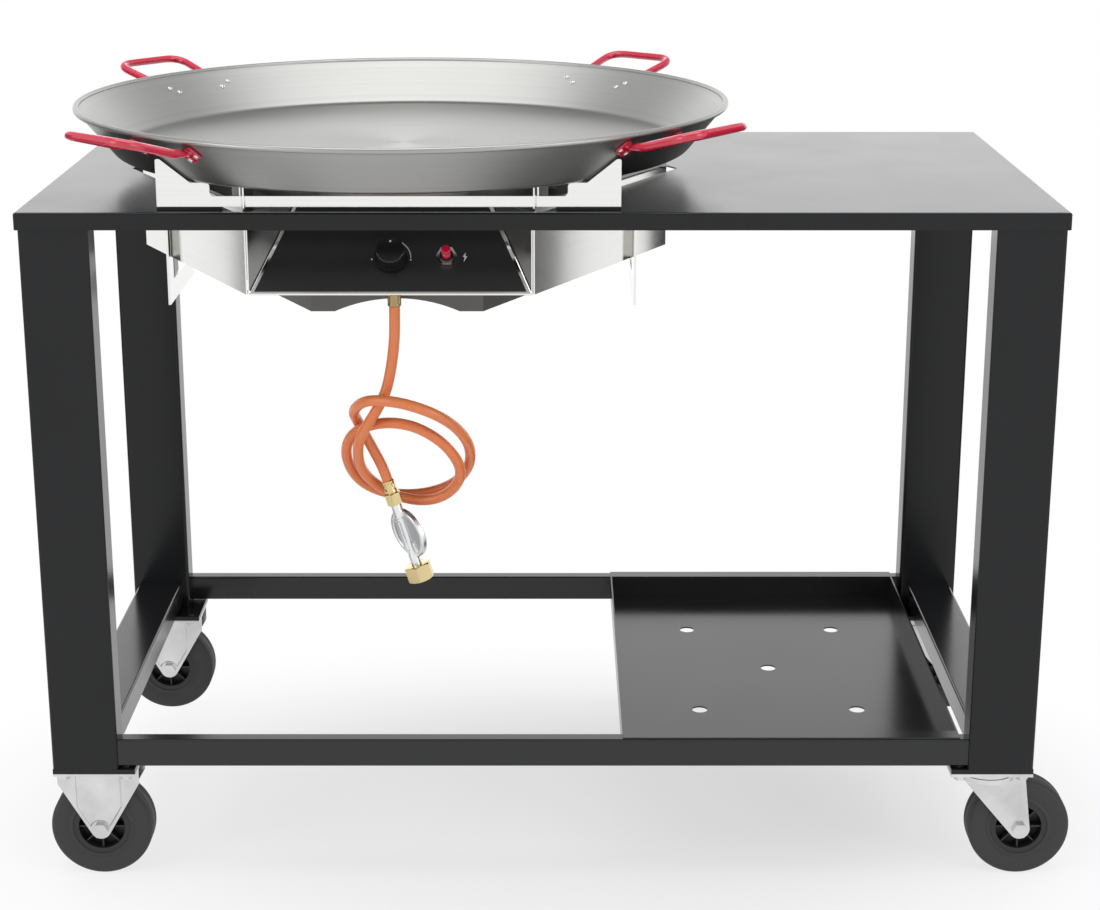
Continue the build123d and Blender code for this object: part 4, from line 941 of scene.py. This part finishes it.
class GRILL_OT_pan(bpy.types.Operator):
    """Make the pan, its handles and rivets"""

    bl_idname = "grill.pan"
    bl_label = "Pan"

    def execute(self, context):
        form = context.scene.grill_pan
        enamel = speckled(
            "Gloss red enamel", form.handle_colour, roughness=0.2, grit=0.004, spread=0.05, coat=1,
        )
        rivet = speckled("Bright steel rivet", linear("#D5D5D3"), roughness=0.2, metallic=1)
        rim = (PAN_HIGH.x - PAN_LOW.x) / 2 - form.bead
        depth = PAN_HIGH.z - PAN_LOW.z - form.bead
        mesh = bmesh.new()
        spin(mesh, pan_outline(form, rim, depth), Matrix.Translation(PAN_CENTRE), steps=240)
        pan = settle(mesh, "spun_pan", pan_steel(form), "pan", crease=40)
        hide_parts("paella_pan")
        pairs = lug_places(form, rim, depth)
        self.handles(form, rim, depth, pairs, enamel)
        self.rivets(form, pairs, rivet)
        return {"FINISHED"}

    def handles(self, form, rim, depth, pairs, enamel):
        """Four bent rods whose ends are hammered flat into lugs."""
        # Start of the rod on its lug, then its knee and grip: past the rim, sideways and up from the rim
        seat, heel = Vector((0, 0.001, 0.0018)), Vector((0, 0.0075, 0.0042))
        knee, grip = (0.013, 0.048, -0.012), (0.087, 0.055, 0.009)
        bends = (0.003, 0.008, 0.026, 0.026, 0.008, 0.003)
        lug_outline = round_corners(width=0.025, height=0.020, corner=0.005)
        mesh = bmesh.new()
        for handle, pair in enumerate(pairs):
            turn = form.first_handle + math.pi / 2 * handle
            out = Vector((math.cos(turn), math.sin(turn), 0))
            level = UP.cross(out)
            ends = []
            for side, lug in zip((-1, 1), pair):
                end = [lug @ seat, lug @ heel]
                for past, sideways, up in (knee, grip):
                    end.append(PAN_CENTRE + out * (rim + past) + level * side * sideways + UP * (depth + up))
                ends.append(end)
            facing = out - UP * 0.8
            self.rod(mesh, form, bent_path(ends[0] + ends[1][::-1], bends), facing)
            for lug in pair:
                prism(mesh, lug_outline, lug, WALL_GAP, LUG_FACE)
        handles = settle(mesh, "hammered_handles", enamel, "pan")
        melt_together(handles, voxel=0.0009, rounds=5)
        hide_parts("pan_handles")

    def rod(self, mesh, form, path, facing):
        """Round rod along a path, wide and flat at its two ends; facing is the flat ends' thin direction."""
        taper, sides, radius = 0.020, 24, form.rod / 2
        turns = [2 * math.pi * k / sides for k in range(sides)]
        lengths = [0]
        for a, b in zip(path, path[1:]):
            lengths.append(lengths[-1] + (b - a).length)
        rings = []
        for i, spot in enumerate(path):
            ahead = (path[min(i + 1, len(path) - 1)] - path[max(i - 1, 0)]).normalized()
            side = ahead.cross(facing).normalized()
            thin = side.cross(ahead)
            full = min(1, min(lengths[i], lengths[-1] - lengths[i]) / taper)
            full = full * full * (3 - 2 * full)
            wide = ROD_END_HALF_WIDTH + (radius - ROD_END_HALF_WIDTH) * full
            thick = ROD_END_HALF_THICKNESS + (radius - ROD_END_HALF_THICKNESS) * full
            rings.append([
                mesh.verts.new(spot + side * wide * math.cos(t) + thin * thick * math.sin(t)) for t in turns
            ])
        skin(mesh, rings)
        mesh.faces.new(rings[0][::-1])
        mesh.faces.new(rings[-1])

    def rivets(self, form, pairs, material):
        """Rivets with a domed head on both sides of the wall."""
        dome = [(RIVET_HEAD, 0.0003), (0.0034, 0.0007), *arc(0, -0.0026, 0.0044, 46, 76, 4), (0, 0.0018)]
        inside = -form.sheet - WALL_GAP
        within = [(r, inside - h) for r, h in reversed(dome)] + [(RIVET_HEAD, inside)]
        shank = [(RIVET_SHANK, inside), (RIVET_SHANK, LUG_FACE)]
        outside = [(RIVET_HEAD, LUG_FACE), *[(r, h + LUG_FACE) for r, h in dome]]
        mesh = bmesh.new()
        for lug in sum(pairs, []):
            for x in (-RIVET_SPREAD, RIVET_SPREAD):
                place = lug @ Matrix.Translation((x, -RIVET_DROP, 0))
                spin(mesh, within + shank + outside, place, steps=24)
        rivets = settle(mesh, "domed_rivets", material, "pan")
        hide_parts("pan_rivets")


def flat_sheet(name, corners, material):
    """A flat four-cornered sheet for the studio."""
    mesh = bpy.data.meshes.new(name)
    mesh.from_pydata(corners, [], [(0, 1, 2, 3)])
    mesh.materials.append(material)
    sheet = bpy.data.objects.new(name, mesh)
    bpy.context.scene.collection.objects.link(sheet)
    return sheet


class GRILL_OT_studio(bpy.types.Operator):
    """Set up the floor, the lamps and the camera"""

    bl_idname = "grill.studio"
    bl_label = "Studio"

    def execute(self, context):
        scene = context.scene
        scene.view_settings.view_transform = "Standard"
        self.floor(scene.grill_studio)
        self.backdrop(scene)
        self.lamps(scene)
        self.cards()
        self.camera(scene, scene.grill_studio)
        return {"FINISHED"}

    def floor(self, setup):
        """Pale floor that keeps the shadow near the grill and fades to white further out."""
        material, tree, shader = new_material("Pale studio floor")
        shader.inputs["Base Color"].default_value = (*setup.floor_colour, 1)
        shader.inputs["Roughness"].default_value = 0.8
        shader.inputs["Specular IOR Level"].default_value = 0.1
        place = object_place(tree)
        oval = vector_math(tree, "MULTIPLY_ADD", place, (1, 1.6, 1), (0, 0.16, 0))
        away = vector_math(tree, "LENGTH", oval)
        fade = ranged(
            tree, away, {"From Min": 0.3, "From Max": 1.0, "To Min": 0.6, "To Max": 1.0},
            interpolation_type="SMOOTHSTEP",
        )
        rays = add_node(tree, "ShaderNodeLightPath").outputs
        seen = combine(tree, "MAXIMUM", rays["Is Camera Ray"], rays["Is Glossy Ray"])
        seen = combine(tree, "MAXIMUM", seen, rays["Is Transmission Ray"])
        share = combine(tree, "MULTIPLY", seen, fade)
        white = add_node(tree, "ShaderNodeEmission", {"Color": (1, 1, 1, 1), "Strength": 1.0})
        mixed = add_node(
            tree, "ShaderNodeMixShader", {0: share, 1: shader.outputs["BSDF"], 2: white.outputs["Emission"]},
        )
        tree.links.new(mixed.outputs["Shader"], tree.nodes["Material Output"].inputs["Surface"])
        signs = ((-1, -1), (1, -1), (1, 1), (-1, 1))
        floor = flat_sheet("floor", [(x * FLOOR_REACH, y * FLOOR_REACH, 0) for x, y in signs], material)

    def backdrop(self, scene):
        """White all round, which metal mirrors as darker towards the ceiling."""
        world = bpy.data.worlds.new("Studio")
        scene.world = world
        world.use_nodes = True
        tree = world.node_tree
        rays = add_node(tree, "ShaderNodeLightPath").outputs
        seen = combine(tree, "MAXIMUM", rays["Is Camera Ray"], rays["Is Transmission Ray"])
        strength = ranged(tree, seen, {"To Min": 0.5, "To Max": 1.0})
        direction = add_node(tree, "ShaderNodeTexCoord").outputs["Generated"]
        rise = add_node(tree, "ShaderNodeSeparateXYZ", {"Vector": direction}).outputs["Z"]
        mirrored = ranged(
            tree, rise, {"From Min": 0.2, "From Max": 0.8, "To Min": 1.0, "To Max": 0.45},
            interpolation_type="SMOOTHSTEP",
        )
        level = add_node(
            tree, "ShaderNodeMix", {0: rays["Is Glossy Ray"], 2: strength, 3: mirrored}, data_type="FLOAT",
        )
        background = tree.nodes["Background"].inputs
        background["Color"].default_value = (1, 1, 1, 1)
        tree.links.new(level.outputs[0], background["Strength"])

    def lamps(self, scene):
        """Softboxes above and on both sides, and a wide glow from the backdrop."""
        for name, place, aim, width, height, power in (
            ("overhead_softbox", (-0.2, -0.3, 3.2), (-0.2, 0, 0.6), 3.4, 2.2, 42),
            ("left_softbox", (-3.0, -2.0, 1.7), (0, 0, 0.6), 1.6, 2.2, 20),
            ("right_softbox", (2.8, -2.0, 1.7), (0, 0, 0.6), 1.6, 2.2, 20),
            ("backdrop_glow", (0, 3.2, 1.3), (0, 0, 1.0), 7.0, 2.4, 31),
        ):
            lamp = bpy.data.lights.new(name, "AREA")
            lamp.shape = "RECTANGLE"
            lamp.size, lamp.size_y = width, height
            lamp.energy = power
            light = bpy.data.objects.new(name, lamp)
            scene.collection.objects.link(light)
            light.location = place
            light.visible_camera = False
            light.rotation_euler = (Vector(aim) - Vector(place)).to_track_quat("-Z", "Y").to_euler()

    def cards(self):
        """Grey cards beside the grill, which only polished metal mirrors."""
        material, _, shader = new_material("Grey card")
        shader.inputs["Base Color"].default_value = shade(linear("#6E6E6E"))
        shader.inputs["Roughness"].default_value = 0.9
        for name, away, back in (("left_card", -CARD_AWAY, 0.62), ("right_card", CARD_AWAY, 0.42)):
            x = PAN_CENTRE.x + away
            corners = [(x, CARD_FRONT, 0), (x, back, 0), (x, back, CARD_TOP), (x, CARD_FRONT, CARD_TOP)]
            card = flat_sheet(name, corners, material)
            for rays in ("camera", "diffuse", "shadow", "transmission"):
                setattr(card, f"visible_{rays}", False)

    def camera(self, scene, setup):
        """Camera at the front, tilted down, with its lens shifted a little."""
        camera = bpy.data.cameras.new("camera")
        camera.lens = setup.lens
        camera.sensor_width = 36
        camera.shift_y = setup.rise
        view = bpy.data.objects.new("camera", camera)
        scene.collection.objects.link(view)
        view.location = CAMERA_PLACE
        view.rotation_euler = (math.pi / 2 - setup.tilt, 0, 0)
        scene.camera = view


class GRILL_PT_looks(bpy.types.Panel):
    """Steps that build the grill's looks"""

    bl_idname = "GRILL_PT_looks"
    bl_label = "Gas grill"
    bl_space_type = "VIEW_3D"
    bl_region_type = "UI"
    bl_category = "Gas grill"

    def draw(self, context):
        for operator in OPERATORS:
            self.layout.operator(operator.bl_idname)
        for name in SETTINGS:
            for key in getattr(context.scene, name).bl_rna.properties.keys():
                if key not in ("rna_type", "name"):
                    self.layout.prop(getattr(context.scene, name), key)


SETTINGS = {
    "grill_trolley": TrolleyFinish,
    "grill_casters": CasterFinish,
    "grill_burner": BurnerFinish,
    "grill_controls": ControlFinish,
    "grill_hose": HoseForm,
    "grill_pan": PanForm,
    "grill_studio": StudioSetup,
}
OPERATORS = (
    GRILL_OT_studio,
    GRILL_OT_gas_line,
    GRILL_OT_trolley,
    GRILL_OT_casters,
    GRILL_OT_burner_unit,
    GRILL_OT_controls,
    GRILL_OT_pan,
)


def register():
    """Register the classes and hang the settings on the scene."""
    for made in (*SETTINGS.values(), *OPERATORS, GRILL_PT_looks):
        bpy.utils.register_class(made)
    for name, group in SETTINGS.items():
        setattr(bpy.types.Scene, name, bpy.props.PointerProperty(type=group))


def unregister():
    """Take the settings and classes away again."""
    for name in SETTINGS:
        delattr(bpy.types.Scene, name)
    for made in reversed((*SETTINGS.values(), *OPERATORS, GRILL_PT_looks)):
        bpy.utils.unregister_class(made)


def main():
    """Build the looks."""
    register()
    for operator in OPERATORS:
        group, name = operator.bl_idname.split(".")
        getattr(getattr(bpy.ops, group), name)()


if __name__ == "__main__":
    main()
